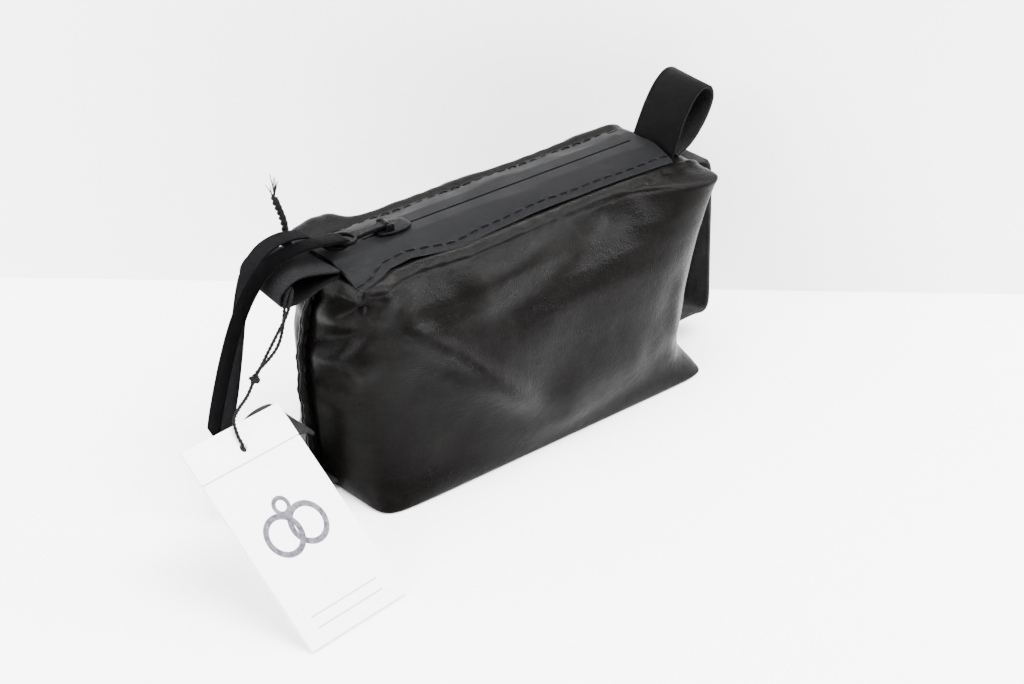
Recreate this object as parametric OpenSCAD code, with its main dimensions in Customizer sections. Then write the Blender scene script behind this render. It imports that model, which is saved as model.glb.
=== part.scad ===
// Soft leather makeup bag with a zip along its crowned top, a tab loop at each
// end of the zip, a strap on each end and a folded card tag on a waxed cord.
// Millimetres, +Z up. The origin is the middle of the base, on the surface.

/* [Body] */
// Half length of the bag at its top edge
half_l = 89; // [70:1:120]
// Half width of the base
half_w = 34; // [28:1:45]
// Height of the seams beside the zip
body_h = 92; // [75:1:120]
// How far the top leans towards the back
lean = 6; // [0:0.5:8]
// How much further out each end swells at half height
end_swell = 6; // [0:0.5:10]
// How much further out the front and back swell near the base
side_swell = 3; // [0:0.5:6]
// Thickness of the shell leather
leather_t = 1.4; // [1:0.1:2]
// Thickness of the lining cloth
lining_t = 0.5; // [0.3:0.1:1]
// How far the sewn end seams stand out
flange_out = 3.5; // [2:0.5:6]

/* [Zip band] */
// Width of the zip band between its two seams
band_w = 40; // [32:1:48]
// Distance from the ends of the band to the ends of the bag
band_inset = 5; // [3:0.5:10]
// Width of the stitched edge on each side of the band
edge_w = 5; // [4:0.5:6]
// How far the middle of the band stands above its seams
crown = 5; // [2:0.5:8]
// Thickness of the coated tape
tape_t = 1.2; // [0.8:0.1:1.6]
// Gap between the two tapes
tape_gap = 1.4; // [1.2:0.1:2]
// Width of each half of the coil
coil_w = 2.4; // [1.6:0.1:3]
// Height of the coil
coil_h = 1.8; // [1.2:0.1:2.4]
// Length of the closed stretch where the slider rests
left_dock = 44; // [40:1:60]
// Length of the closed stretch at the other end
right_dock = 22; // [21:1:40]

/* [Slider] */
// Length of the slider
slider_l = 16; // [12:0.5:18]
// Width of the slider
slider_w = 10; // [8:0.5:11]
// Thickness of the slider's two plates
plate_t = 1.1; // [0.8:0.1:1.5]
// Clearance between the slider and what it runs on
run_clear = 0.35; // [0.3:0.05:0.6]
// Distance from the puller's pivot to the middle of its eye
puller_l = 20; // [16:1:24]
// Outer radius of the puller's eye
eye_r = 5; // [4.5:0.1:6]

/* [Straps] */
// Width of the tab loops
tab_w = 24; // [18:1:28]
// Thickness of the tab and strap leather
tab_t = 1.6; // [1.2:0.1:2]
// Width of the side straps
strap_w = 25; // [18:1:30]
// Width of the ribbon on the puller
ribbon_w = 7.5; // [6:0.5:8]
// Thickness of the ribbon
ribbon_t = 1.2; // [0.8:0.1:1.6]

/* [Stitches] */
// Distance from one topstitch to the next
stitch_pitch = 6; // [4:0.5:9]
// Length of a topstitch
stitch_l = 4; // [3:0.5:4.5]
// Thickness of the thread
thread_d = 0.8; // [0.6:0.1:1]

/* [Tag] */
// Width of the tag
tag_w = 48; // [40:1:56]
// Height of the folded tag
tag_h = 85; // [70:1:95]
// Thickness of one leaf of card
card_t = 0.5; // [0.4:0.1:0.7]
// Gap between the two leaves
leaf_gap = 0.3; // [0.2:0.1:0.6]
// Radius of the hole for the cord
hole_r = 1.7; // [1.5:0.1:2]
// Distance from the fold to the hole
hole_in = 9; // [6:0.5:14]
// Diameter of the waxed cord
cord_d = 1.4; // [1.2:0.1:1.6]

/* [Hidden] */
$fn = 48;

// Distance from a piece to the lining or the leather behind it
skin_gap = 0.2;
// Gap between moving and fixed cloth
cloth_gap = 0.3;
// Columns round half of the shell
cols = 28;

band_y0 = lean - band_w / 2;
band_y1 = lean + band_w / 2;
band_x = half_l - band_inset;
crown_z = body_h + crown;
// The middle of the band is flat, a little wider than the slider
flat_w = slider_w / 2 + 1.5;
edge_rise = crown * edge_w / (band_w / 2 - flat_w);
// The moving tape starts this far inside the stitched edge, so it can turn there
fold_gap = 1;
flap_x0 = -band_x + left_dock;
flap_x1 = band_x - right_dock;
coil_z = crown_z - tape_t - coil_h;

// One level of the shell: height, left end, right end, front, back, squareness
levels = [
    [0, half_l - 8, half_l - 2, half_w, half_w, 6],
    [6, half_l - 5, half_l, half_w + side_swell, half_w + side_swell, 6],
    [body_h * 0.33, half_l + end_swell * 0.4, half_l + end_swell * 0.4,
        half_w + side_swell, half_w + side_swell + 1, 5],
    [body_h * 0.6, half_l + end_swell - 1, half_l + end_swell * 0.6,
        half_w + 1, half_w + side_swell + 1, 5],
    [body_h * 0.82, half_l + end_swell - 2, half_l + 3, half_w - 1, half_w + 3, 5],
    [body_h - 6, half_l + 2, half_l + 2, half_w - 4, half_w + 1, 5],
    [body_h - 1.5, half_l - 1.5, half_l + 0.5, half_w - 9, half_w - 3, 6]
];

function signed_pow(v, p) = sign(v) * pow(abs(v), p);

// Half length of the shell at a height
function end_x(z, column) = lookup(z, [for (row = levels) [row[0], row[column]]]);

// A point on a level's outline, going from the left end seam by the front
// (side -1) or by the back (side 1) to the right end seam
function outline(row, inset, side, i) =
    let (t = 180 - 180 * i / cols, p = 2 / row[5],
        xa = (cos(t) < 0 ? row[1] : row[2]) - inset,
        ya = (side < 0 ? row[3] + lean : row[4] - lean) - inset)
    [xa * signed_pow(cos(t), p), lean + side * ya * pow(abs(sin(t)), p)];

// The rectangular mouth as the last level, on the same columns. A factor just
// over the root of two puts a column on each corner.
corner_k = 1.42;
function mouth(side, i) =
    let (t = 180 - 180 * i / cols)
    [band_x * max(-1, min(1, corner_k * cos(t))),
        lean + side * band_w / 2 * min(1, corner_k * sin(t))];

// All rings of a half shell: the base from its middle seam, the sides, the mouth
function ring(side, k, inset, i) =
    k == 0 ? let (q = outline(levels[0], inset, side, i)) [q[0], lean, inset] :
    k <= len(levels) ?
        let (row = levels[k - 1], q = outline(row, inset, side, i),
            z = k == 1 ? inset : k == len(levels) ? row[0] - inset : row[0])
        [q[0], q[1], z] :
    let (q = mouth(side, i)) [q[0], q[1], body_h - inset];

// A half shell between two insets, as one closed skin
module half_shell(side, inset_0, inset_1) {
    rows = len(levels) + 2;
    wide = cols + 1;
    outer = [for (k = [0:rows - 1]) for (i = [0:cols]) ring(side, k, inset_0, i)];
    inner = [for (k = [0:rows - 1]) for (i = [0:cols]) ring(side, k, inset_1, i)];
    n = rows * wide;
    function quad(a, b, c, d) = side < 0 ? [[a, b, c], [a, c, d]] : [[a, c, b], [a, d, c]];
    faces = concat(
        [for (k = [0:rows - 2]) for (i = [0:cols - 1]) for (f = quad(
            k * wide + i, (k + 1) * wide + i, (k + 1) * wide + i + 1, k * wide + i + 1)) f],
        [for (k = [0:rows - 2]) for (i = [0:cols - 1]) for (f = quad(
            n + k * wide + i, n + k * wide + i + 1,
            n + (k + 1) * wide + i + 1, n + (k + 1) * wide + i)) f],
        [for (k = [0:rows - 2]) for (f = quad(
            k * wide, n + k * wide, n + (k + 1) * wide, (k + 1) * wide)) f],
        [for (k = [0:rows - 2]) for (f = quad(
            k * wide + cols, (k + 1) * wide + cols,
            n + (k + 1) * wide + cols, n + k * wide + cols)) f],
        [for (i = [0:cols - 1]) for (f = quad(i, i + 1, n + i + 1, n + i)) f],
        [for (i = [0:cols - 1]) for (f = quad(
            (rows - 1) * wide + i, n + (rows - 1) * wide + i,
            n + (rows - 1) * wide + i + 1, (rows - 1) * wide + i + 1)) f]
    );
    polyhedron(points = concat(outer, inner), faces = faces);
}

module front_panel() {
    color([0.07, 0.07, 0.075]) {
        half_shell(-1, 0, leather_t);
        end_fins(-1);
    }
}

module back_panel() {
    color([0.08, 0.08, 0.085]) {
        half_shell(1, 0, leather_t);
        end_fins(1);
    }
}

module front_lining() {
    color([0.25, 0.22, 0.2])
        half_shell(-1, leather_t + skin_gap, leather_t + skin_gap + lining_t);
}

module back_lining() {
    color([0.27, 0.24, 0.22])
        half_shell(1, leather_t + skin_gap, leather_t + skin_gap + lining_t);
}

// Cross-section of the front tape, in Y and Z, from its stitched edge
module tape_section(edge_in) {
    edge_y = band_y0 + edge_w + edge_in;
    edge_z = body_h + crown * (edge_w + edge_in) / (band_w / 2 - flat_w);
    polygon([
        [edge_y, edge_z - tape_t], [lean - flat_w, crown_z - tape_t],
        [lean - tape_gap / 2, crown_z - tape_t], [lean - tape_gap / 2, crown_z],
        [lean - flat_w, crown_z], [edge_y, edge_z]
    ]);
}

// Cross-section of the stitched edge at the front
module edge_section() {
    polygon([
        [band_y0, body_h - tape_t], [band_y0 + edge_w, body_h + edge_rise - tape_t],
        [band_y0 + edge_w, body_h + edge_rise], [band_y0, body_h]
    ]);
}

// Extrudes a section drawn in Y and Z along X, from x0 to x1
module along_x(x0, x1) {
    translate([x0, 0, 0]) rotate([90, 0, 90]) linear_extrude(x1 - x0) children();
}

// Copies the front half of the band to the back
module both_halves() {
    children();
    at_back() children();
}

module coil(x0, x1) {
    translate([x0, lean - tape_gap / 2 - coil_w, coil_z]) cube([x1 - x0, coil_w, coil_h]);
}

// Turns a piece of the front half of the band into its twin at the back
module at_back() {
    translate([0, 2 * lean, 0]) mirror([0, 1, 0]) children();
}

module front_band_edge() {
    color([0.08, 0.08, 0.09]) along_x(-band_x, band_x) edge_section();
}

module back_band_edge() {
    color([0.08, 0.08, 0.09]) at_back() along_x(-band_x, band_x) edge_section();
}

module front_zip_tape() {
    color([0.1, 0.1, 0.11])
        along_x(flap_x0 + cloth_gap, flap_x1 - cloth_gap) tape_section(fold_gap);
}

module back_zip_tape() {
    color([0.11, 0.11, 0.12]) at_back()
        along_x(flap_x0 + cloth_gap, flap_x1 - cloth_gap) tape_section(fold_gap);
}

module front_zip_coil() {
    color([0.05, 0.05, 0.05]) coil(flap_x0 + cloth_gap, flap_x1 - cloth_gap);
}

module back_zip_coil() {
    color([0.05, 0.05, 0.05]) at_back() coil(flap_x0 + cloth_gap, flap_x1 - cloth_gap);
}

// The slider's places at its two stops, and the closed tape beyond them
slider_x = flap_x0 - slider_l / 2 - 2;
slider_end_x = flap_x1 + slider_l / 2 + 2;
left_join_x = slider_x - slider_l / 2 - 6;
right_join_x = slider_end_x + 6;

module band_end(x0, x1, join_x0, join_x1) {
    both_halves() along_x(x0, x1) tape_section(0);
    translate([join_x0, lean - tape_gap / 2, crown_z - tape_t])
        cube([join_x1 - join_x0, tape_gap, tape_t]);
}

module left_zip_end() {
    color([0.1, 0.1, 0.11]) band_end(-band_x, flap_x0, -band_x, left_join_x);
}

module right_zip_end() {
    color([0.1, 0.1, 0.11])
        band_end(flap_x1, band_x, right_join_x, band_x);
}

stop_l = 2.5;

module left_coil_end() {
    color([0.05, 0.05, 0.05])
        both_halves() coil(slider_x - slider_l / 2 - 3, flap_x0 - cloth_gap);
}

module right_coil_end() {
    color([0.05, 0.05, 0.05])
        both_halves() coil(flap_x1 + cloth_gap, slider_end_x + slider_l / 2);
}

// A stop is a metal bar clamped under the end of the coil
module stop_bar(x0) {
    wide = 2 * coil_w + tape_gap;
    color([0.15, 0.15, 0.15])
        translate([x0, lean - wide / 2, coil_z]) cube([stop_l, wide, coil_h]);
}

module zip_top_stop() {
    stop_bar(slider_x - slider_l / 2 - 3 - stop_l);
}

module zip_bottom_stop() {
    stop_bar(slider_end_x + slider_l / 2);
}

top_plate_z = crown_z + run_clear;
low_plate_z = coil_z - run_clear - plate_t;
post_w = tape_gap - 2 * run_clear;
bridge_r = 1.2;
pivot_z = top_plate_z + plate_t + 1.6;

// A plate of the slider with round ends
module slider_plate(z) {
    end_r = slider_w / 2;
    translate([0, 0, z]) linear_extrude(plate_t) union() {
        for (s = [-1, 1]) translate([s * (slider_l / 2 - end_r), 0]) circle(end_r);
        square([slider_l - 2 * end_r, slider_w], center = true);
    }
}

// Two lugs on the top plate hold the pin that the puller turns on
lug_in = 2.4;
lug_w = 1.2;
pin_r = 0.8;
pin_clear = 0.08;
pivot_dx = -slider_l / 2 + 5;

module slider_body() {
    color([0.06, 0.06, 0.06]) translate([slider_x, lean, 0]) {
        slider_plate(top_plate_z);
        slider_plate(low_plate_z);
        translate([1, -post_w / 2, low_plate_z])
            cube([4, post_w, top_plate_z - low_plate_z + plate_t]);
        for (s = [-1, 1]) translate([pivot_dx, s * (lug_in + lug_w / 2), 0]) {
            translate([-1.6, -lug_w / 2, top_plate_z])
                cube([3.2, lug_w, pivot_z - top_plate_z]);
            translate([0, lug_w / 2, pivot_z]) rotate([90, 0, 0]) cylinder(r = 1.6, h = lug_w);
        }
        translate([pivot_dx, lug_in + lug_w, pivot_z]) rotate([90, 0, 0])
            cylinder(r = pin_r, h = 2 * (lug_in + lug_w));
    }
}

pivot_x = slider_x + pivot_dx;
puller_t = 1.6;
knuckle_w = 2 * lug_in - 0.6;
knuckle_r = 1.5;
eye_hole_r = eye_r - 1.3;
eye_x = pivot_x - puller_l;

module puller() {
    color([0.05, 0.05, 0.05]) difference() {
        union() {
            translate([pivot_x, lean + knuckle_w / 2, pivot_z]) rotate([90, 0, 0])
                cylinder(r = knuckle_r, h = knuckle_w);
            translate([eye_x + eye_r - 1, lean - knuckle_w / 2, pivot_z - puller_t / 2])
                cube([puller_l - eye_r + 1, knuckle_w, puller_t]);
            translate([eye_x, lean, pivot_z - puller_t / 2]) cylinder(r = eye_r, h = puller_t);
        }
        translate([pivot_x, lean + knuckle_w, pivot_z]) rotate([90, 0, 0])
            cylinder(r = pin_r + pin_clear, h = 2 * knuckle_w);
        translate([eye_x, lean, pivot_z - puller_t]) cylinder(r = eye_hole_r, h = 2 * puller_t);
    }
}

// Normal of a path at one of its points, in the plane of the path
function path_normal(path, i) =
    let (a = path[max(i - 1, 0)], b = path[min(i + 1, len(path) - 1)], d = b - a)
    [-d[1], d[0]] / norm(d);

// Round path through hand-set points
function spline(a, b, c, d, t) =
    0.5 * (2 * b + (c - a) * t + (2 * a - 5 * b + 4 * c - d) * t * t
        + (3 * b - a - 3 * c + d) * t * t * t);
function smooth(path, n) =
    let (m = len(path) - 1)
    concat([for (i = [0:m - 1]) for (j = [0:n - 1]) spline(
        path[max(i - 1, 0)], path[i], path[i + 1], path[min(i + 2, m)], j / n)], [path[m]]);

// A strap of thickness t bent along a path in X and Z, spanning y0 to y1
module strap(path, t, y0, y1) {
    last = len(path) - 1;
    left = [for (i = [0:last]) path[i] + path_normal(path, i) * t / 2];
    right = [for (i = [last:-1:0]) path[i] - path_normal(path, i) * t / 2];
    translate([0, y1, 0]) rotate([90, 0, 0]) linear_extrude(y1 - y0)
        polygon(concat(left, right));
}

// Left loop lies over to the left. Offsets from the left end of the band.
left_tab_path = [[-0.5, 2.7], [-8, 5.2], [-18, 7.6], [-25, 6], [-28, 2], [-25.5, -1.8],
    [-17, -2], [-8, 0.2], [-0.5, 0.9]];
// Right loop stands up and leans out. Offsets from the right end of the band.
right_tab_path = [[3, -0.2], [6.5, 8], [10.5, 16], [15.5, 24], [21, 28], [26.5, 26.5],
    [27.5, 21], [24, 14], [19, 8], [13, 3.2], [5.8, 0.1]];

module left_tab_loop() {
    color([0.06, 0.06, 0.065]) strap(
        [for (q = smooth(left_tab_path, 4)) [q[0] - band_x, q[1] + body_h]],
        tab_t, lean - tab_w / 2, lean + tab_w / 2);
}

module right_tab_loop() {
    color([0.06, 0.06, 0.065]) strap(
        [for (q = smooth(right_tab_path, 4)) [q[0] + band_x, q[1] + body_h]],
        tab_t, lean - 4 - tab_w / 2, lean - 4 + tab_w / 2);
}

// Side straps, as offsets from the ends of the bag. The left one has slumped and
// hangs from the sewn edge; the right one stands out and is sewn to the shell.
strap_gap = 0.4;
left_strap_z = 30;
left_root_x = half_l - end_x(left_strap_z, 1) - flange_out - strap_gap;
left_strap_path = [[left_root_x, left_strap_z], [-13, 32.5], [-22, 31], [-30, 23], [-31, 12],
    [-25, 5], [-13, 3.4], [4.2, 4.2]];
right_strap_low = 12;
right_strap_high = body_h - 8;
right_strap_path = [
    [end_x(right_strap_high, 2) - half_l + strap_gap, right_strap_high],
    [12, right_strap_high - 0.5], [19, body_h - 15], [22, body_h - 28], [22.5, body_h / 2],
    [20.5, 28], [16, 17], [8, 12.5],
    [end_x(right_strap_low, 2) - half_l + strap_gap, right_strap_low]
];

module left_side_strap() {
    color([0.1, 0.09, 0.09]) strap(
        [for (q = smooth(left_strap_path, 4)) [q[0] - half_l, q[1]]],
        tab_t, lean - strap_w / 2, lean + strap_w / 2);
}

module right_side_strap() {
    color([0.1, 0.09, 0.09]) strap(
        [for (q = smooth(right_strap_path, 4)) [q[0] + half_l, q[1]]],
        tab_t, lean - 5 - strap_w / 2, lean - 5 + strap_w / 2);
}

// The ribbon lies over the puller's eye and its two tails hang past the left end.
// Offsets from the eye, for an eye at drop_ref above the surface.
drop_ref = 100;
ribbon_path_front = [[2, 1.6], [-6, 3.6], [-17, 5.4], [-28, 5.8], [-38.5, 3], [-47, -5],
    [-54, -17.5], [-59.5, -33], [-64, -50], [-65.5, -58]];
ribbon_path_back = [[2, 3.2], [-6, 5.2], [-16, 7], [-27, 7.4], [-36, 4.8], [-42.5, -3],
    [-46, -16], [-48.5, -34], [-52, -54], [-58, -77], [-62.5, -91]];
ribbon_y = lean - 4;

module ribbon_tail(path, y) {
    drop = pivot_z / drop_ref;
    strap([for (q = smooth(path, 3)) [q[0] + eye_x, pivot_z + q[1] * (q[1] < 0 ? drop : 1)]],
        ribbon_t, y - ribbon_w / 2, y + ribbon_w / 2);
}

module puller_ribbon() {
    color([0.06, 0.06, 0.065]) {
        ribbon_tail(ribbon_path_front, ribbon_y);
        ribbon_tail(ribbon_path_back, ribbon_y + ribbon_w + 0.5);
    }
}

// A row of stitches along X, laid on the stitched edge
stitch_in = 3.5;
module stitch_row() {
    x0 = -band_x + 2;
    count = floor((2 * band_x - 4) / stitch_pitch);
    slope = edge_rise / edge_w;
    z = body_h + slope * stitch_in + thread_d / 2 * sqrt(1 + slope * slope) + 0.02;
    for (i = [0:count - 1]) translate([x0 + i * stitch_pitch, band_y0 + stitch_in, z])
        rotate([0, 90, 0]) cylinder(d = thread_d, h = stitch_l, $fn = 16);
}

module front_topstitch() {
    color([0.03, 0.03, 0.03]) stitch_row();
}

module back_topstitch() {
    color([0.03, 0.03, 0.03]) at_back() stitch_row();
}

// The edges of the two panels stand out from each end, sewn face to face. On the
// right they stop between the ends of the side strap.
left_seam_z = [8, body_h - 8];
right_seam_z = [18, body_h - 16];
seam_steps = 12;

module end_fin(end, column, span) {
    zs = [for (i = [0:seam_steps]) span[0] + (span[1] - span[0]) * i / seam_steps];
    outer = [for (z = zs) [end * (end_x(z, column) + flange_out), z]];
    inner = [for (i = [seam_steps:-1:0]) [end * (end_x(zs[i], column) - 0.5), zs[i]]];
    rotate([90, 0, 0]) linear_extrude(leather_t) polygon(concat(outer, inner));
}

module end_fins(side) {
    translate([0, lean + (side > 0 ? leather_t : 0), 0]) {
        end_fin(-1, 1, left_seam_z);
        end_fin(1, 2, right_seam_z);
    }
}

module end_stitches(end, column, span) {
    count = floor((span[1] - span[0]) / stitch_pitch);
    off = leather_t + thread_d / 2 + 0.02;
    for (i = [0:count - 1]) {
        z = span[0] + (i + 0.5) * stitch_pitch;
        for (s = [-1, 1])
            translate([end * (end_x(z, column) + flange_out - 1.2), lean + s * off, z])
                cylinder(d = thread_d, h = stitch_l, center = true, $fn = 16);
    }
}

module left_end_stitch() {
    color([0.03, 0.03, 0.03]) end_stitches(-1, 1, left_seam_z);
}

module right_end_stitch() {
    color([0.03, 0.03, 0.03]) end_stitches(1, 2, right_seam_z);
}

// The cord: a hitch on the left tab, a short frayed tail above it, and a run from
// inside the tab down to a knot and on to the hole in the tag. The run's points are
// offsets along X from the left end of the band, for a tab at tab_ref.
tag_dx = -52;
tag_y = -80.5;
tag_yaw = 7.5;
tag_tilt = 40.3;
// The front leaf bends at a crease this far below the fold
crease_in = 14;
tab_ref = 94;
hole_ref = 49.6;
cord_route = [[-21, -1, 94], [-22, -5, 94], [-25, -8, 92], [-28, -9, 87], [-33, -9, 80],
    [-38, -9, 73], [-43, -9, 66], [-48, -11, 61.5], [-54, -14, 60], [-58.5, -17, 58],
    [-59.8, -21, 54], [-59.6, -23, 51.8], [-59.5, -23.4, 49.6]];
hitch = [-9 - band_x, lean + 9.5, body_h + 9.4];
// The tail's points are offsets from the hitch
tail_route = [[0, 0, 2.6], [-0.5, 0, 7.6], [-2, 0, 12.6], [-4, 0, 17.6], [-5, 0.5, 22.6],
    [-4, 0.5, 26.6]];

// Moves a point of the run with the tab, and leaves the end in the tag where it is
function hung(q) =
    let (lift = (body_h + 2 - hole_ref) / (tab_ref - hole_ref))
    [q[0] - band_x, q[1], hole_ref + (q[2] - hole_ref) * lift];
knot_at = 6;

// No stretch of the cord runs along this direction, so it sets the tube's turn
tube_side = [1, 0, -0.8];

// A tube along a route, as one skin with a flat cap at each end
module tube(route, d, sides) {
    last = len(route) - 1;
    rings = [for (i = [0:last])
        let (a = route[max(i - 1, 0)], b = route[min(i + 1, last)],
            along = (b - a) / norm(b - a),
            u0 = cross(along, tube_side), u = u0 / norm(u0), v = cross(along, u))
        for (j = [0:sides - 1])
            route[i] + (u * cos(360 * j / sides) + v * sin(360 * j / sides)) * d / 2];
    walls = [for (i = [0:last - 1]) for (j = [0:sides - 1])
        let (a = i * sides + j, b = i * sides + (j + 1) % sides)
        for (f = [[a, a + sides, b + sides], [a, b + sides, b]]) f];
    caps = [[for (j = [0:sides - 1]) j],
        [for (j = [sides - 1:-1:0]) last * sides + j]];
    polyhedron(points = rings, faces = concat(walls, caps));
}

module cord_hitch() {
    color([0.04, 0.04, 0.04]) translate(hitch) sphere(2.6, $fn = 24);
}

module cord_tail() {
    color([0.04, 0.04, 0.04]) tube([for (q = smooth(tail_route, 2)) hitch + q], cord_d * 1.4, 8);
}

module cord_run() {
    color([0.04, 0.04, 0.04]) tube([for (q = smooth(cord_route, 3)) hung(q)], cord_d, 8);
}

module cord_knot() {
    color([0.04, 0.04, 0.04]) translate(hung(cord_route[knot_at])) sphere(2.4, $fn = 24);
}

// Card leaves in the tag's own frame: X across, Y up the slope, Z out of the card
module on_tag() {
    translate([tag_dx - band_x, tag_y, 0]) rotate([0, 0, tag_yaw]) rotate([tag_tilt, 0, 0]) children();
}

// A leaf of card between two heights up the slope, with the hole where it reaches it
module leaf(z, low, high) {
    difference() {
        translate([-tag_w / 2, low, z]) cube([tag_w, high - low, card_t]);
        translate([0, tag_h - hole_in, z - 1]) cylinder(r = hole_r, h = card_t + 2);
    }
}

front_leaf_z = card_t + leaf_gap;

module tag_back_leaf() {
    color([0.93, 0.92, 0.9]) on_tag() leaf(0, 0, tag_h);
}

module tag_top_strip() {
    color([0.96, 0.95, 0.94]) on_tag() leaf(front_leaf_z, tag_h - crease_in, tag_h);
}

module tag_front_leaf() {
    color([0.96, 0.95, 0.94]) on_tag()
        leaf(front_leaf_z, 0.5, tag_h - crease_in - cloth_gap - card_t / 2);
}

front_panel();
back_panel();
front_lining();
back_lining();
front_band_edge();
back_band_edge();
front_zip_tape();
back_zip_tape();
front_zip_coil();
back_zip_coil();
left_zip_end();
right_zip_end();
left_coil_end();
right_coil_end();
zip_top_stop();
zip_bottom_stop();
slider_body();
puller();
puller_ribbon();
left_tab_loop();
right_tab_loop();
left_side_strap();
right_side_strap();
front_topstitch();
back_topstitch();
left_end_stitch();
right_end_stitch();
cord_hitch();
cord_tail();
cord_run();
cord_knot();
tag_back_leaf();
tag_top_strip();
tag_front_leaf();
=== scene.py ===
"""A soft black leather makeup bag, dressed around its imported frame: shell, zip band,
tab loops, straps, ribbon, hang cord and card tag. Metres, in the frame's own axes."""

import math

import bmesh
import bpy
import numpy as np
from mathutils import Matrix, Vector


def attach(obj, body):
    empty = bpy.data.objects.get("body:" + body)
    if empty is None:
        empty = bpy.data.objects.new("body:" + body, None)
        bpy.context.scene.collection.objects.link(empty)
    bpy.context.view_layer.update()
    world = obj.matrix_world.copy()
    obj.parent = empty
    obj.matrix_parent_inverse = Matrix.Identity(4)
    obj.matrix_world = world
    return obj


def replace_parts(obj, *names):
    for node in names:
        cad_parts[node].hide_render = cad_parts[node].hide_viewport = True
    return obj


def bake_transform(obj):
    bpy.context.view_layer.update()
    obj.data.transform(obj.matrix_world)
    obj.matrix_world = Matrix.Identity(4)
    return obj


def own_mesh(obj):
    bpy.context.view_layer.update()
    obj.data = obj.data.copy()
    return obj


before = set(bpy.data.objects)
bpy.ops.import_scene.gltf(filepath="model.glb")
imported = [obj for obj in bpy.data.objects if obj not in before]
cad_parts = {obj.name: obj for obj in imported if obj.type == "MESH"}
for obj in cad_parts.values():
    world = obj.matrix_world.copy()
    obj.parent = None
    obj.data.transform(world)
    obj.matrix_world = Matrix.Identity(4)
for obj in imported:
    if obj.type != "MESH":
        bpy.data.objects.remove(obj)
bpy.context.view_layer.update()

MM = 0.001

# Sizes shared with the frame, in millimetres
LEAN = 6.0  # the zip's line stands this far behind the middle of the base
BAND_X = 84.0  # half length of the zip band
SEAM_Z = 92.0  # height of the seams beside the zip
CROWN = 5.0  # the band's middle stands this far above its seams
HALF_BAND = 20.0
LEATHER = 1.4
HINGE_IN = 14.0  # the flaps turn this far from the zip's line
TAG_AT, TAG_YAW, TAG_TILT = (-136.0, -80.5, 0.0), 7.5, 40.3  # the card's lower edge and slope
PIVOT = (-53.0, 6.0, 100.05)  # the puller's pin
EYE = (-73.0, 6.0, 100.05)  # the middle of the puller's eye


# ---------------------------------------------------------------- curves


def smooth_path(points, per_span):
    """A round path through given points, with per_span steps between two of them."""
    p = np.array(points, float)
    ends = np.vstack([p[:1], p, p[-1:]])
    t = np.linspace(0, 1, per_span, endpoint=False)[:, None]
    spans = []
    for i in range(len(p) - 1):
        a, b, c, d = ends[i : i + 4]
        bend = 2 * a - 5 * b + 4 * c - d
        swing = 3 * b - a - 3 * c + d
        spans.append(0.5 * (2 * b + (c - a) * t + bend * t**2 + swing * t**3))
    return np.vstack(spans + [p[-1:]])


def path_length(path):
    return float(np.linalg.norm(np.diff(path, axis=0), axis=1).sum())


def even_path(path, count):
    """The path again, as count points evenly apart."""
    along = np.concatenate([[0], np.cumsum(np.linalg.norm(np.diff(path, axis=0), axis=1))])
    at = np.linspace(0, along[-1], count)
    return np.stack([np.interp(at, along, path[:, k]) for k in range(path.shape[1])], axis=1)


def tangents(path):
    step = np.gradient(path, axis=0)
    return step / np.maximum(np.linalg.norm(step, axis=1, keepdims=True), 1e-12)


def unit(v):
    return v / np.maximum(np.linalg.norm(v, axis=-1, keepdims=True), 1e-12)


def ease(x, low, high):
    """0 below low, 1 above high, and smooth between."""
    t = np.clip((np.asarray(x, float) - low) / (high - low), 0, 1)
    return t * t * (3 - 2 * t)


# ---------------------------------------------------------------- meshes


def new_piece(name, points, faces, finish, body):
    """A mesh piece from points in millimetres, riding on a body."""
    mesh = bpy.data.meshes.new(name)
    mesh.from_pydata((np.asarray(points, float) * MM).tolist(), [], faces)
    mesh.validate()
    piece = bpy.data.objects.new(name, mesh)
    bpy.context.scene.collection.objects.link(piece)
    return dress(piece, finish, body)


def dress(piece, finish, body):
    """Shading, material, body and slot of a finished mesh."""
    piece.data.shade_smooth()
    piece.data.materials.clear()
    piece.data.materials.append(finish)
    if body:
        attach(piece, body)
    return piece


def add_attribute(piece, name, values):
    layer = piece.data.attributes.new(name, "FLOAT", "POINT")
    layer.data.foreach_set("value", np.asarray(values, np.float32))


def grid_faces(rows, cols, start=0, flip=False):
    faces = []
    for r in range(rows - 1):
        for c in range(cols - 1):
            a = start + r * cols + c
            quad = (a, a + 1, a + cols + 1, a + cols)
            faces.append(quad[::-1] if flip else quad)
    return faces


def shell_faces(rows, cols, flip=False):
    """Faces of a closed sheet whose two sides are grids, one after the other."""
    n = rows * cols
    faces = grid_faces(rows, cols, 0, flip) + grid_faces(rows, cols, n, not flip)
    rim = list(range(cols))
    rim += [r * cols + cols - 1 for r in range(1, rows)]
    rim += [(rows - 1) * cols + c for c in range(cols - 2, -1, -1)]
    rim += [r * cols for r in range(rows - 2, 0, -1)]
    for i, a in enumerate(rim):
        b = rim[(i + 1) % len(rim)]
        quad = (a, a + n, b + n, b)
        faces.append(quad[::-1] if flip else quad)
    return faces


def ring_faces(rings, around, closed=False, start=0):
    """Faces of a tube of rings, capped at both ends unless it closes on itself."""
    faces = []
    for i in range(rings if closed else rings - 1):
        here, ahead = start + i * around, start + (i + 1) % rings * around
        for j in range(around):
            k = (j + 1) % around
            faces.append((here + j, here + k, ahead + k, ahead + j))
    if not closed:
        last = start + (rings - 1) * around
        faces.append(tuple(start + j for j in reversed(range(around))))
        faces.append(tuple(range(last, last + around)))
    return faces


def grid_normals(grid):
    """Unit normals of a rows x cols grid of points, along cols cross rows."""
    across = np.gradient(grid, axis=1)
    along = np.gradient(grid, axis=0)
    return unit(np.cross(across, along))


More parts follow.
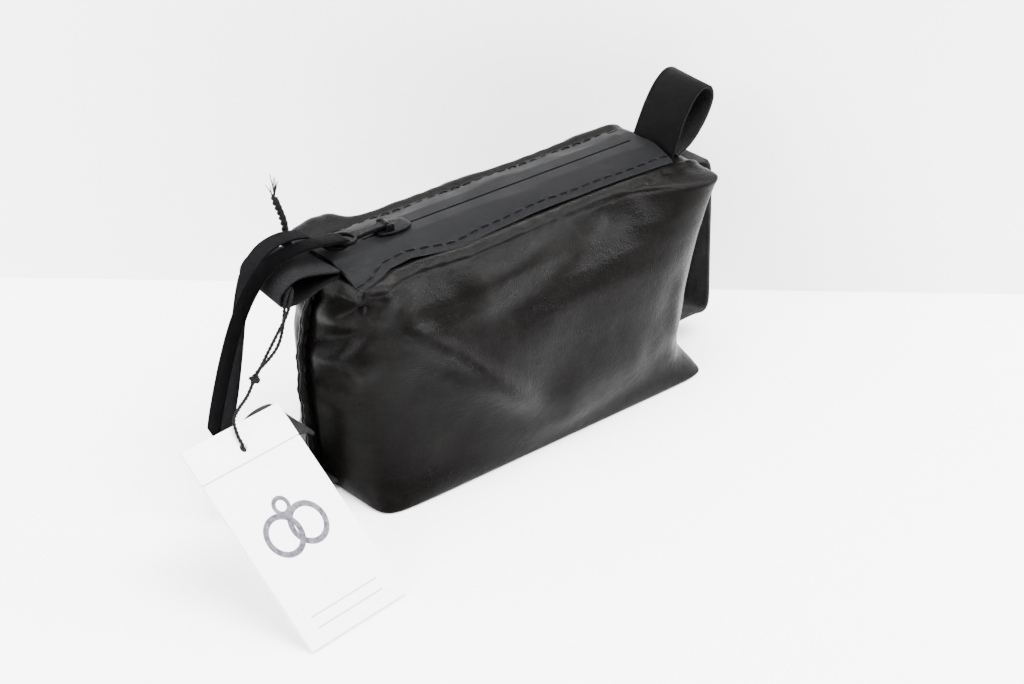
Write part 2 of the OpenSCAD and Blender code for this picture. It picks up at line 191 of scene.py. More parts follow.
def soften_edges(piece, angle=40):
    """Keeps a sheet's sharp rims crisp under smooth shading."""
    mesh = bmesh.new()
    mesh.from_mesh(piece.data)
    for edge in mesh.edges:
        if len(edge.link_faces) == 2 and edge.calc_face_angle(0) > math.radians(angle):
            edge.smooth = False
    mesh.to_mesh(piece.data)
    mesh.free()


def section_ring(width, thickness, round_by):
    """Rounded rectangle, width along the first axis, as corner points of a strap."""
    w, t, r = width / 2, thickness / 2, round_by
    ring = []
    corners = ((w - r, t - r, 0), (r - w, t - r, 90), (r - w, r - t, 180), (w - r, r - t, 270))
    for cx, cy, start in corners:
        for step in (0, 45, 90):
            a = math.radians(start + step)
            ring.append((cx + r * math.cos(a), cy + r * math.sin(a)))
    return np.array(ring)


def strap_piece(name, path, sideways, width, thickness, finish, body, cuts=(0, 0)):
    """A leather strap along a path. sideways is the direction of its width at each point,
    and cuts slants its two ends by that much from edge to edge."""
    along = tangents(path)
    side = unit(sideways - (sideways * along).sum(1, keepdims=True) * along)
    out = np.cross(along, side)
    ring = section_ring(width, thickness, min(0.32 * thickness, 0.5))
    points = path[:, None] + side[:, None] * ring[:, :1] + out[:, None] * ring[:, 1:]
    for end, cut in ((0, cuts[0]), (-1, cuts[1])):
        points[end] += along[end] * (ring[:, :1] / width * cut)
    faces = ring_faces(len(path), len(ring))
    piece = new_piece(name, points.reshape(-1, 3), faces, finish, body)
    add_attribute(piece, "good_side", np.tile((ring[:, 1] > 0).astype(float), len(path)))
    soften_edges(piece, 50)
    return piece


def steady_sides(path, first):
    """A direction square to the path that doesn't spin as it goes, starting near first."""
    along = tangents(path)
    side = np.array(first, float)
    sides = []
    for t in along:
        side = side - side.dot(t) * t
        side = side / np.linalg.norm(side)
        sides.append(side.copy())
    return np.array(sides)


def tube_grid(path, radius, sides, first=(0.31, 0.17, 0.93)):
    """Points round a path: one ring of sides points for each point on it."""
    u = steady_sides(path, first)
    v = np.cross(tangents(path), u)
    turn = np.arange(sides) * 2 * math.pi / sides
    radius = np.broadcast_to(radius, (len(path),))[:, None, None]
    ring = u[:, None, :] * np.cos(turn)[None, :, None] + v[:, None, :] * np.sin(turn)[None, :, None]
    return path[:, None, :] + ring * radius


def tube_mesh(tubes, closed=False):
    """Points and faces of several tubes together."""
    points, faces = [], []
    for grid in tubes:
        start = sum(len(p) for p in points)
        faces += ring_faces(*grid.shape[:2], closed, start)
        points.append(grid.reshape(-1, 3))
    return np.concatenate(points), faces


def twisted_strands(path, diameter, lay_length, strands=2, sides=8, per_mm=2.5):
    """The tubes of a cord laid up from strands that wind round each other."""
    line = even_path(path, max(8, int(path_length(path) * per_mm)))
    strand_r = diameter * 0.27
    offset = diameter / 2 - strand_r
    u = steady_sides(line, (0.31, 0.17, 0.93))
    v = np.cross(tangents(line), u)
    travel = np.linspace(0, path_length(line), len(line))
    tubes = []
    for k in range(strands):
        turn = (travel / lay_length + k / strands) * 2 * math.pi
        centre = line + (u * np.cos(turn)[:, None] + v * np.sin(turn)[:, None]) * offset
        tubes.append(tube_grid(centre, strand_r * 1.12, sides))
    return tubes


# ---------------------------------------------------------------- node graphs


class Wire:
    """One output of a node, for sums written as plain arithmetic."""

    def __init__(self, graph, socket):
        self.graph, self.socket = graph, socket

    def sum(self, operation, a, b):
        return self.graph.node("ShaderNodeMath", a, b, operation=operation)

    def __add__(self, other):
        return self.sum("ADD", self, other)

    __radd__ = __add__

    def __sub__(self, other):
        return self.sum("SUBTRACT", self, other)

    def __rsub__(self, other):
        return self.sum("SUBTRACT", other, self)

    def __mul__(self, other):
        return self.sum("MULTIPLY", self, other)

    __rmul__ = __mul__

    def __pow__(self, other):
        return self.sum("POWER", self, other)

    def ramp(self, low, high, to_low=0.0, to_high=1.0):
        """Smoothly from to_low at low to to_high at high."""
        return self.graph.node(
            "ShaderNodeMapRange", self, low, high, to_low, to_high, interpolation_type="SMOOTHSTEP"
        )

    def mix(self, first, second):
        """first where this is 0 and second where it is 1, as colours."""
        return self.graph.node(
            "ShaderNodeMix", self, A=first, B=second, data_type="RGBA", out="Result"
        )

    def tones(self, tone, low, high):
        """A tone at strength low where this is 0 and at strength high where it is 1."""
        return self.mix(*[(*[c * strength for c in tone], 1) for strength in (low, high)])

    def sine(self):
        return self.graph.node("ShaderNodeMath", self, operation="SINE")


class Graph:
    """A node tree, built one node at a time."""

    def __init__(self, tree):
        self.tree = tree

    def node(self, kind, *places, out=0, named=None, **settings):
        """Adds a node and gives one output. Inputs go by place, or by name in settings;
        the settings that aren't inputs are the node's own properties."""
        node = self.tree.nodes.new(kind)
        inputs = {}
        for key, value in settings.items():
            if hasattr(node, key) and not isinstance(value, Wire):
                setattr(node, key, value)
            else:
                inputs[key] = value
        for place, value in enumerate(places):
            if value is not None:
                self.feed(node.inputs[place], value)
        live = [s for s in node.inputs if s.enabled]
        for key, value in {**inputs, **(named or {})}.items():
            socket = next(s for s in live if s.name == key)
            self.feed(socket, value)
        outputs = [s for s in node.outputs if s.enabled]
        chosen = outputs[out] if isinstance(out, int) else next(s for s in outputs if s.name == out)
        return Wire(self, chosen)

    def feed(self, socket, value):
        if isinstance(value, Wire):
            self.tree.links.new(value.socket, socket)
        else:
            socket.default_value = value


class Paint(Graph):
    """A procedural material."""

    def __init__(self, name, **constants):
        self.material = bpy.data.materials.new(name)
        self.material.use_nodes = True
        super().__init__(self.material.node_tree)
        self.tree.nodes.clear()
        self.surface = self.tree.nodes.new("ShaderNodeBsdfPrincipled")
        self.output = self.tree.nodes.new("ShaderNodeOutputMaterial")
        self.tree.links.new(self.surface.outputs[0], self.output.inputs[0])
        for key, value in constants.items():
            self.surface.inputs[key.replace("_", " ")].default_value = value

    def where(self):
        return self.node("ShaderNodeTexCoord", out="Object")

    def stretched(self, vector, scale):
        return self.node("ShaderNodeMapping", vector, named={"Scale": scale})

    def noise(self, vector, scale, detail=3.0, rough=0.55):
        return self.node(
            "ShaderNodeTexNoise",
            named={"Vector": vector, "Scale": scale, "Detail": detail, "Roughness": rough},
        )

    def cells(self, vector, scale):
        """Distance from the edges between random cells."""
        return self.node(
            "ShaderNodeTexVoronoi", feature="DISTANCE_TO_EDGE", named={"Vector": vector, "Scale": scale}
        )

    def mark(self, name):
        return self.node("ShaderNodeAttribute", attribute_name=name, out="Fac")

    def parts(self, vector):
        """The X, Y and Z of a vector, as three wires."""
        apart = self.node("ShaderNodeSeparateXYZ", vector).socket.node
        return [Wire(self, s) for s in apart.outputs]

    def set(self, **inputs):
        for key, value in inputs.items():
            self.feed(self.surface.inputs[key.replace("_", " ")], value)

    def see_through_back(self):
        """Leaves nothing to see from behind, for a wall that would hide the object."""
        behind = self.node("ShaderNodeNewGeometry", out="Backfacing")
        clear = self.node("ShaderNodeBsdfTransparent")
        skin = Wire(self, self.surface.outputs[0])
        mixed = self.node("ShaderNodeMixShader", behind, skin, clear)
        self.feed(self.output.inputs[0], mixed)

    def bump(self, height, distance, strength):
        """Feeds a height in 0 to 1, worth distance in metres, to the normal."""
        named = {"Strength": strength, "Distance": distance, "Height": height}
        self.feed(self.surface.inputs["Normal"], self.node("ShaderNodeBump", named=named))


def leather_paint(name, tone, gloss, grain, shine, flesh=(0.006, 0.006, 0.0063)):
    """Soft grained leather. The good side is dressed and the other is brushed suede."""
    paint = Paint(name, Specular_IOR_Level=shine, IOR=1.5)
    p = paint.where()
    good = paint.mark("good_side").ramp(0.35, 0.75)
    pebble = paint.cells(p, 950 * grain).ramp(0.0, 0.32)
    pores = paint.noise(p, 2600 * grain, 2.0)
    drift = paint.noise(p, 90, 4.0, 0.6)
    crumple = paint.noise(paint.stretched(p, (1.0, 1.0, 1.6)), 210, 5.0, 0.62)
    cloud = paint.noise(p, 22, 3.0)
    fibre = paint.noise(p, 1400, 5.0, 0.8)
    tint = paint.noise(p, 45, 3.0).ramp(0.3, 0.7)
    dressed = tint.tones(tone, 0.82, 1.22)
    brushed = fibre.ramp(0.3, 0.7).tones(flesh, 0.6, 1.9)
    worn = cloud.ramp(0.3, 0.75, -0.02, 0.03) + drift.ramp(0.3, 0.75, -0.02, 0.02)
    smooth_side = gloss + worn + (1 - pebble) * 0.12
    paint.set(
        Base_Color=good.mix(brushed, dressed),
        Roughness=good * smooth_side + (1 - good) * 0.92,
    )
    skin = pebble * 0.5 + pores * 0.22 + crumple.ramp(0.25, 0.8) * 1.1
    height = good * skin + (1 - good) * fibre * 1.8
    paint.bump(height, 0.00011, 0.75)
    return paint.material


def suede_paint(name, tone):
    """Brushed flesh side on both faces, with a soft nap."""
    paint = Paint(name, Specular_IOR_Level=0.06, Sheen_Weight=0.02, Sheen_Roughness=0.5)
    p = paint.where()
    nap = paint.noise(p, 900, 6.0, 0.85)
    drag = paint.noise(paint.stretched(p, (1.0, 1.0, 0.35)), 260, 4.0, 0.7)
    tuft = nap * 0.7 + drag * 0.5
    paint.set(
        Base_Color=tuft.ramp(0.35, 0.85).tones(tone, 0.45, 1.7),
        Roughness=drag.ramp(0.2, 0.8, 0.86, 1.0),
    )
    paint.bump(tuft, 0.0004, 0.8)
    return paint.material


def tape_paint(name, tone):
    """Zip tape with a matte coating: a fine rib across it and a little cloudiness."""
    paint = Paint(name, Specular_IOR_Level=0.055, IOR=1.5)
    p = paint.where()
    x, y, z = paint.parts(p)
    rib = (x * (2 * math.pi / 0.0011)).sine()
    weft = (y * (2 * math.pi / 0.0009)).sine()
    cloud = paint.noise(p, 60, 4.0, 0.6)
    speck = paint.noise(p, 1500, 3.0, 0.7)
    paint.set(
        Base_Color=cloud.ramp(0.3, 0.7).tones(tone, 0.85, 1.15),
        Roughness=cloud.ramp(0.3, 0.75, 0.5, 0.6) + speck * 0.06,
    )
    paint.bump(rib * 0.16 + weft * 0.12 + speck * 0.5 + cloud * 0.9 + 0.3, 0.00008, 0.6)
    return paint.material


def metal_paint(name, tone, gloss):
    """Black painted die-cast metal, its tone and gloss drifting a little in soft patches."""
    paint = Paint(name, Specular_IOR_Level=0.02, Metallic=0.0, Coat_Roughness=0.2)
    p = paint.where()
    cast = paint.noise(p, 700, 3.0)
    haze = paint.noise(p, 160, 4.0, 0.65)
    paint.set(
        Base_Color=haze.ramp(0.35, 0.7).tones(tone, 0.8, 1.25),
        Roughness=haze.ramp(0.3, 0.8, gloss - 0.05, gloss + 0.09),
        Coat_Weight=haze.ramp(0.3, 0.7, 0.008, 0.02),
    )
    paint.bump(cast, 0.00004, 0.5)
    return paint.material


def thread_paint(name, tone, lay, shine):
    """Twisted yarn: strands slant across the surface, with some fuzz."""
    paint = Paint(name, Specular_IOR_Level=0.05, Sheen_Weight=0.01)
    p = paint.where()
    x, y, z = paint.parts(p)
    slant = (x + y * 0.6 + z * 0.8) * (2 * math.pi / lay)
    strand = slant.sine() * 0.5 + 0.5
    fuzz = paint.noise(p, 2600, 4.0, 0.8)
    paint.set(
        Base_Color=(strand * 0.6 + fuzz * 0.4).ramp(0.2, 0.8).tones(tone, 0.6, 1.3),
        Roughness=fuzz.ramp(0.2, 0.8, shine, shine + 0.18),
    )
    paint.bump(strand * 0.8 + fuzz * 0.5, 0.00012, 0.7)
    return paint.material


def nylon_paint(name, tone):
    paint = Paint(name, Specular_IOR_Level=0.2, Coat_Roughness=0.3)
    p = paint.where()
    draw = paint.noise(p, 800, 3.0, 0.6)
    paint.set(
        Base_Color=draw.ramp(0.3, 0.7).tones(tone, 0.8, 1.2),
        Roughness=draw.ramp(0.3, 0.8, 0.32, 0.45),
    )
    paint.bump(draw, 0.00003, 0.4)
    return paint.material


def cotton_paint(name, tone):
    """Plain-woven lining cloth."""
    paint = Paint(name, Specular_IOR_Level=0.08, Sheen_Weight=0.01)
    p = paint.where()
    x, y, z = paint.parts(p)
    thread = 2 * math.pi / 0.0007
    warp = ((x + y) * thread).sine()
    weft = ((z + y * 0.3) * thread).sine()
    slub = paint.noise(paint.stretched(p, (1.0, 1.0, 0.1)), 500, 3.0, 0.7)
    weave = warp * weft * 0.5 + 0.5
    shade = weave * 0.6 + slub * 0.4
    paint.set(
        Base_Color=shade.ramp(0.2, 0.8).tones(tone, 0.7, 1.25),
        Roughness=slub.ramp(0.2, 0.8, 0.82, 0.95),
    )
    paint.bump(shade, 0.00018, 0.7)
    return paint.material


def card_paint(name, printed):
    """Uncoated white card. The printed face has a plain mark of rings above two rules."""
    paint = Paint(name, Specular_IOR_Level=0.15)
    p = paint.where()
    pulp = paint.noise(p, 420, 5.0, 0.7)
    soil = paint.noise(p, 35, 3.0)
    stock = pulp.ramp(0.25, 0.75).mix((0.83, 0.82, 0.80, 1), (0.89, 0.885, 0.87, 1))
    if printed:
        local = paint.node(
            "ShaderNodeMapping", p, vector_type="TEXTURE",
            named={
                "Location": tuple(v * MM for v in TAG_AT), "Scale": (MM, MM, MM),
                "Rotation": (math.radians(TAG_TILT), 0, math.radians(TAG_YAW)),
            },
        )
        across, up, out = paint.parts(local)
        ink = None
        for cx, cy, inner, outer in ((-6.5, 41, 6.2, 8.6), (5.5, 41, 6.2, 8.6), (-0.5, 51, 2.2, 4.0)):
            away = ((across - cx) ** 2 + (up - cy) ** 2) ** 0.5
            ring = away.ramp(inner - 0.12, inner + 0.12) * (1 - away.ramp(outer - 0.12, outer + 0.12))
            ink = ring if ink is None else ink.sum("MAXIMUM", ink, ring)
        for height, half in ((11.0, 16.5), (6.5, 16.5)):
            level = (up - height).sum("ABSOLUTE", up - height, 0)
            reach = across.sum("ABSOLUTE", across, 0)
            rule = (1 - level.ramp(0.22, 0.36)) * (1 - reach.ramp(half - 0.1, half + 0.1))
            ink = ink.sum("MAXIMUM", ink, rule * 0.6)
        patchy = pulp.ramp(0.2, 0.75, 0.86, 1.0)
        stock = (ink * out.ramp(1.2, 1.28) * patchy).mix(stock, (0.02, 0.014, 0.032, 1))
    paint.set(Base_Color=stock, Roughness=soil.ramp(0.3, 0.7, 0.58, 0.7))
    paint.bump(pulp, 0.00004, 0.5)
    return paint.material


# ---------------------------------------------------------------- camera, floor and light


def turned(azimuth, elevation, roll):
    """Right, up and forward of a view from its three angles in degrees."""
    a, e, w = (math.radians(v) for v in (azimuth, elevation, roll))
    forward = Vector((math.sin(a) * math.cos(e), math.cos(a) * math.cos(e), -math.sin(e)))
    right = Vector((math.cos(a), -math.sin(a), 0))
    up = right.cross(forward)
    return (
        right * math.cos(w) + up * math.sin(w),
        up * math.cos(w) - right * math.sin(w),
        forward,
    )


def add_camera():
    away, aside, above = 991.35, 7.33, 27.75
    right, up, forward = turned(azimuth=42.73, elevation=29.5, roll=1.55)
    spot = (-forward * away + right * aside + up * above) * MM
    data = bpy.data.cameras.new("camera")
    data.sensor_width = 36
    data.lens = 84.4
    data.clip_start = 0.05
    data.clip_end = 30
    camera = bpy.data.objects.new("camera", data)
    bpy.context.scene.collection.objects.link(camera)
    turn = Matrix((right, up, -forward)).transposed().to_4x4()
    camera.matrix_world = Matrix.Translation(spot) @ turn
    bpy.context.scene.camera = camera


def add_floor():
    """A white table, with a white wall standing close behind it, square to the view."""
    size, wall_y, wall_h = 3000, 108, 1600
    mesh = bpy.data.meshes.new("floor")
    corners = [(-size, -size, 0), (size, -size, 0), (size, wall_y, 0), (-size, wall_y, 0)]
    corners += [(size, wall_y, wall_h), (-size, wall_y, wall_h)]
    turn = Matrix.Rotation(math.radians(-41.5), 4, "Z")
    mesh.from_pydata([turn @ Vector(c) * MM for c in corners], [], [(0, 1, 2, 3), (3, 2, 4, 5)])
    floor = bpy.data.objects.new("floor", mesh)
    bpy.context.scene.collection.objects.link(floor)
    paint = Paint("pale_floor", Specular_IOR_Level=0.2)
    cloud = paint.noise(paint.where(), 3.0, 2.0)
    paint.set(
        Base_Color=cloud.ramp(0.3, 0.7).mix((0.9, 0.897, 0.89, 1), (0.93, 0.93, 0.925, 1)),
        Roughness=cloud.ramp(0.3, 0.7, 0.55, 0.65),
    )
    paint.see_through_back()
    mesh.materials.append(paint.material)


def add_light(name, spot, aim, size, power, tint):
    data = bpy.data.lights.new(name, "AREA")
    data.shape = "RECTANGLE"
    data.size, data.size_y = size
    data.energy = power
    data.color = tint
    light = bpy.data.objects.new(name, data)
    bpy.context.scene.collection.objects.link(light)
    light.location = spot
    light.rotation_mode = "QUATERNION"
    light.rotation_quaternion = (Vector(aim) - Vector(spot)).to_track_quat("-Z", "Y")


def add_lights():
    world = bpy.data.worlds.new("studio")
    bpy.context.scene.world = world
    world.use_nodes = True
    back = world.node_tree.nodes["Background"]
    back.inputs["Color"].default_value = (1.0, 0.97, 0.93, 1)
    back.inputs["Strength"].default_value = 0.62
    add_light("key", (0.25, -0.15, 1.3), (0, 0, 0.0), (1.5, 1.2), 172, (0.96, 0.98, 1.0))
    add_light("side", (-1.1, 0.1, 0.65), (0, 0, 0.05), (0.8, 0.7), 44, (0.98, 0.985, 1.0))
    add_light("front", (0.75, -0.62, 0.66), (0, 0, 0.06), (0.36, 0.3), 24, (0.97, 0.985, 1.0))
    add_light("low", (0.1, -1.3, 0.5), (0, 0, 0.0), (1.2, 0.5), 6, (1.0, 0.92, 0.84))


add_camera()
add_floor()
add_lights()

SHELL = leather_paint("shell_leather", (0.0012, 0.00098, 0.00085), 0.3, 0.85, 0.043)
TAB = leather_paint("tab_leather", (0.0014, 0.0014, 0.0015), 0.52, 1.5, 0.024)
RIBBON = leather_paint(
    "ribbon_leather", (0.0005, 0.0005, 0.0006), 0.5, 1.6, 0.006, flesh=(0.003, 0.003, 0.0032)
)
SUEDE = suede_paint("strap_suede", (0.0125, 0.012, 0.012))
LINING = cotton_paint("lining_cloth", (0.02, 0.018, 0.02))
TAPE = tape_paint("coated_tape", (0.0019, 0.0019, 0.0022))
COIL = nylon_paint("coil_nylon", (0.004, 0.004, 0.0042))
METAL = metal_paint("black_metal", (0.0018, 0.0018, 0.002), 0.3)
THREAD = thread_paint("thread", (0.0016, 0.0016, 0.0018), 0.0005, 0.55)
WAXED = thread_paint("waxed_cord", (0.004, 0.0038, 0.0038), 0.0009, 0.5)
CARD = card_paint("card", False)
PRINT = card_paint("printed_card", True)


# ---------------------------------------------------------------- the hanging cord

CORD_D = 1.4
CORD_ROUTE = [
    (-105, -1, 94), (-106, -5, 94), (-109, -8, 92), (-112, -9, 87), (-117, -9, 80),
    (-122, -9, 73), (-127, -9, 66), (-132, -11, 61.5), (-138, -14, 60), (-142.5, -17, 58),
    (-143.8, -21, 54), (-143.6, -23, 51.8), (-143.5, -23.4, 49.6),
]
KNOT = CORD_ROUTE[6]


def knot_path(centre, size, turns=(2, 3), flat=0.85):
    """A closed path wound about a ball: a small overhand knot pulled tight."""
    t = np.linspace(0, 2 * math.pi, 90, endpoint=False)
    p, q = turns
    r = 1 + 0.48 * np.cos(q * t)
    ring = np.stack([r * np.cos(p * t), r * np.sin(p * t), flat * np.sin(q * t)], axis=1)
    return np.array(centre) + ring * size


def cord_piece(name, tubes, body, closed=False):
    points, faces = tube_mesh(tubes, closed)
    return new_piece(name, points, faces, WAXED, body)


def knot_piece(name, node, line, body):
    knot = cord_piece(name, [tube_grid(line, CORD_D / 2, 10)], body, closed=True)
    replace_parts(knot, node)
    return knot


route = smooth_path(CORD_ROUTE, 8)
cord = cord_piece("cord_run_laid", twisted_strands(route, CORD_D, 3.2), "tag")
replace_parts(cord, "cord_run")

# Above its knot the cord is doubled: the other half of its loop winds beside the first.
upper = even_path(smooth_path(CORD_ROUTE[:7], 8), 40)
turn = np.linspace(0.4, 7.2, len(upper))
beside = steady_sides(upper, (0.31, 0.17, 0.93))
across = np.cross(tangents(upper), beside)
slack = 1.35 + 0.9 * np.sin(np.linspace(0, math.pi, len(upper)))
slack[:7] = np.linspace(0.5, slack[7], 7)
slack[-5:] = np.linspace(slack[-5], 0.6, 5)
second_line = upper + (beside * np.cos(turn)[:, None] + across * np.sin(turn)[:, None]) * slack[:, None]
second = cord_piece("cord_second_strand", twisted_strands(second_line, CORD_D, 3.2), "tag")

knot = knot_piece("cord_knot_tied", "cord_knot", knot_path(KNOT, 1.05), "tag")

# ---------------------------------------------------------------- shell

ROWS, COLS = 118, 236
BASE_ROWS = 16  # of the rows, those across the flat base

# Height, left end, right end, front, back, then the squareness of the plan at its front
# left, front right, back left and back right. The base and the top are square, and the
# ends between them are drawn to a point at their seams.
LEVELS = np.array([
    [0.0, 85, 88, 34.4, 34.5, 14, 16, 12, 14],
    [0.7, 86, 89.8, 35.4, 35.6, 14, 16, 12, 14],
    [3.0, 86.8, 90.2, 35.9, 36.4, 9, 9, 8, 9],
    [8.0, 87.6, 89.6, 36.3, 37, 5, 4.6, 4.4, 5],
    [16, 89, 89.2, 36.8, 37.6, 3.6, 3.5, 2.9, 3.6],
    [28, 90.4, 89.6, 37.2, 38, 3.1, 3.6, 2.3, 3.2],
    [42, 92, 90.2, 37.2, 38, 3.0, 4.0, 2.1, 3.2],
    [56, 92.4, 91, 36.6, 37.8, 3.1, 5.0, 2.1, 3.6],
    [69, 90.8, 92, 35.6, 37.2, 3.6, 6.5, 2.5, 4.6],
    [79, 88.4, 93, 34.8, 36.4, 5, 9, 3.4, 7],
    [86, 86.6, 94, 34.2, 35.4, 8, 14, 6, 12],
    [90, 85.6, 94.2, 33.4, 33.6, 14, 22, 10, 20],
    [92, 85, 90.5, 28, 29, 20, 30, 16, 30],
    [92, 84, 84, 20 - LEAN, 20 + LEAN, 40, 40, 40, 40],
])


def seam_shift(x):
    """How far the front seam wanders from its straight line, along Y."""
    at = [-84, -76, -66, -55, -45, -33, -20, 5, 40, 62, 76, 84]
    to = [-5.0, -2.6, 1.4, 2.2, 0.9, -0.6, 0.4, 1.6, 1.9, 1.6, 1.0, 0.6]
    return np.interp(x, at, to)


def outline(level, side, count):
    """Half an outline, from the left end seam round one side to the right one."""
    z, left, right, front, back = level[:5]
    depth = front + LEAN if side < 0 else back - LEAN
    left_square, right_square = level[5:7] if side < 0 else level[7:9]
    angle = np.linspace(math.pi, 0, 720)
    c, s = np.cos(angle), np.sin(angle)
    half = np.where(c < 0, left, right)
    square = np.where(c < 0, left_square, right_square)
    reach = (np.abs(c / half) ** square + np.abs(s / depth) ** square) ** (-1 / square)
    flat = np.stack([reach * c, LEAN + side * reach * s, np.full_like(c, z)], axis=1)
    return even_path(flat, count)


def bare_shell(side):
    """Rows of points up one half of the shell, from the base's middle seam to the mouth."""
    levels = smooth_path(LEVELS, 9)
    # rows stand evenly apart by height and depth, and length counts for less
    travel = levels * [1, 0.25, 0.25, 0.9, 0.9, 0, 0, 0, 0]
    levels = even_path(np.column_stack([travel, levels]), ROWS - BASE_ROWS)[:, 9:]
    rows = [outline(level, side, COLS) for level in levels]
    base = []
    for share in np.linspace(0, 1, BASE_ROWS, endpoint=False):
        row = rows[0].copy()
        row[:, 1] = LEAN + (row[:, 1] - LEAN) * share
        base.append(row)
    return np.array(base + rows)


def near(points, line):
    """Distance from each point to a path, and how far along the path, 0 to 1, that is."""
    line = np.array(line, float)
    best = np.full(points.shape[:-1], 1e9)
    along = np.zeros(points.shape[:-1])
    lengths = np.linalg.norm(np.diff(line, axis=0), axis=1)
    starts = np.concatenate([[0], np.cumsum(lengths)])
    for i, size in enumerate(lengths):
        a, step = line[i], line[i + 1] - line[i]
        t = np.clip(((points - a) @ step) / size**2, 0, 1)
        away = np.linalg.norm(points - (a + t[..., None] * step), axis=-1)
        closer = away < best
        best = np.where(closer, away, best)
        along = np.where(closer, (starts[i] + t * size) / starts[-1], along)
    return best, along


def swell(points, line, height, width, fade=(0.15, 0.25)):
    """A long bulge, or a valley if height is negative, that fades towards both ends."""
    away, along = near(points, line)
    strength = ease(along, -0.001, fade[0]) if fade[0] else 1.0
    strength = strength * (1 - ease(along, 1 - fade[1], 1.001)) if fade[1] else strength
    return height * strength * np.exp(-((away / width) ** 2))


def fold(points, line, depth, width, fade=(0.1, 0.4), lip=0.45):
    """A pinched crease: a narrow valley between two soft lips."""
    valley = swell(points, line, -depth, width, fade)
    lips = swell(points, line, depth * lip, width * 2.6, fade)
    return valley + lips


def ripples(points, seed, count, shortest, longest, height):
    """Soft random waves: a sum of plane waves with fixed directions."""
    dice = np.random.RandomState(seed)
    total = np.zeros(points.shape[:-1])
    for _ in range(count):
        way = dice.normal(size=3)
        way = way / np.linalg.norm(way)
        length = dice.uniform(shortest, longest)
        total += np.sin((points @ way) * 2 * math.pi / length + dice.uniform(0, 6.3)) * length
    return total * height / (longest * math.sqrt(count / 2))


FRONT_FOLDS = [
    # the pocket under the pinched corner
    ([(-88, -3, 90.5), (-85, -13, 89.5), (-80, -23, 86)], 4.6, 4.0, (0.1, 0.3), 0.0),
    ([(-84, -12, 88), (-86, -16, 83), (-87, -19, 75)], 1.8, 4.4, (0.2, 0.3), 0.2),
    # the crease under the long ridge
    ([(-80, -31, 75), (-72, -34, 69), (-57, -36, 57), (-36, -37, 41)], 6.2, 3.6, (0.15, 0.5), 0.15),
    # the left end's lobes, between creases that start at its seam
    ([(-90, 5, 85), (-89, -8, 84), (-85, -16, 84)], 2.8, 2.4, (0.1, 0.5), 0.5),
    ([(-92, 5, 63), (-91, -8, 68), (-86, -20, 75), (-79, -28, 78)], 3.8, 4.2, (0.05, 0.4), 0.3),
    ([(-93, 5, 46), (-91, -10, 46), (-82, -24, 44)], 1.6, 5.0, (0.05, 0.5), 0.4),
    # the lower right corner
    ([(85, -27, 42), (78, -31, 22), (84, -32, 8)], 2.2, 3.6, (0.3, 0.3), 0.6),
    ([(60, -36, 8), (52, -37, 22), (50, -37, 40)], 0.9, 6.0, (0.3, 0.5), 0.3),
]

FRONT_SWELLS = [
    ([(-82, -16, 92.5), (-73, -27, 87)], 3.6, 6.8, (0, 0)),
    # the long ridge from the pinched corner to the middle of the base
    (
        [(-88, -18, 83), (-78, -30, 81), (-54, -36, 59), (-23, -37, 33), (2, -37, 12)],
        4.8, 6.2, (0.1, 0.35),
    ),
    ([(-68, -36, 44), (-52, -37, 24)], -3.0, 13.0, (0, 0)),
    ([(-90, 3, 76), (-88, -12, 79)], 3.4, 4.8, (0, 0)),
    ([(-92, 3, 62), (-88, -12, 62), (-80, -26, 56)], 3.0, 5.6, (0, 0.3)),
    # the rounded shoulder under the seam, and the soft valley that bounds it
    ([(-46, -31, 77), (-14, -28, 84), (22, -20, 91)], 3.0, 12.0, (0.2, 0.4)),
    (
        [(52, -22, 91), (32, -30, 84), (10, -34, 76), (-20, -36, 69), (-50, -36, 69)],
        -3.4, 10.0, (0.15, 0.3),
    ),
    ([(74, -35, 60), (69, -36, 34), (70, -36, 16), (80, -35, 4)], 2.0, 6.0, (0.3, 0.2)),
    ([(14, -37, 24), (52, -37, 26)], 2.0, 15.0, (0, 0)),
]

BACK_FOLDS = [
    ([(-92, 30, 84), (-70, 42, 70), (-44, 44, 50), (-24, 44, 38)], 4.6, 5.0, (0.1, 0.7), 0.4),
    ([(-80, 40, 86), (-50, 43, 74), (-16, 44, 66)], 2.0, 5.0, (0.2, 0.6), 0.4),
    ([(90, 34, 82), (66, 43, 68), (46, 44, 52)], 2.8, 5.0, (0.15, 0.7), 0.4),
    ([(-86, 36, 6), (-70, 43, 20), (-60, 44, 38)], 2.2, 5.0, (0.1, 0.6), 0.4),
    ([(88, 36, 5), (74, 43, 18), (66, 44, 36)], 2.2, 5.0, (0.1, 0.6), 0.4),
    ([(-95, 8, 70), (-90, 20, 70), (-80, 34, 68)], 3.0, 4.0, (0.05, 0.4), 0.5),
    ([(92, 8, 66), (90, 20, 65), (82, 34, 62)], 2.4, 4.0, (0.05, 0.4), 0.5),
]

BACK_SWELLS = [
    # the far shoulder rides up beside the left dock
    ([(-86, 30, 92), (-62, 33, 92), (-44, 33, 92)], 5.0, 9.0, (0, 0.4)),
    ([(-90, 34, 90), (-84, 38, 84)], -6.0, 9.0, (0, 0)),
    ([(86, 34, 50), (84, 34, 32)], -3.0, 11.0, (0.2, 0.2)),
    ([(-40, 44, 36), (40, 44, 34)], 1.6, 20.0, (0.2, 0.3)),
]


def puckers(points, side):
    """The leather draws up between the stitches beside the mouth."""
    x, y, z = points[..., 0], points[..., 1], points[..., 2]
    out = np.abs(y - LEAN) - HALF_BAND
    by_seam = ease(z, 86, 91.5) * (1 - ease(out, 4, 15)) * ease(out, 0.2, 3)
    pull = np.sin(x * 2 * math.pi / 11.5 + 1.7 * np.sin(x * 0.11 + side))
    return (0.24 if side < 0 else 0.2) * by_seam * pull


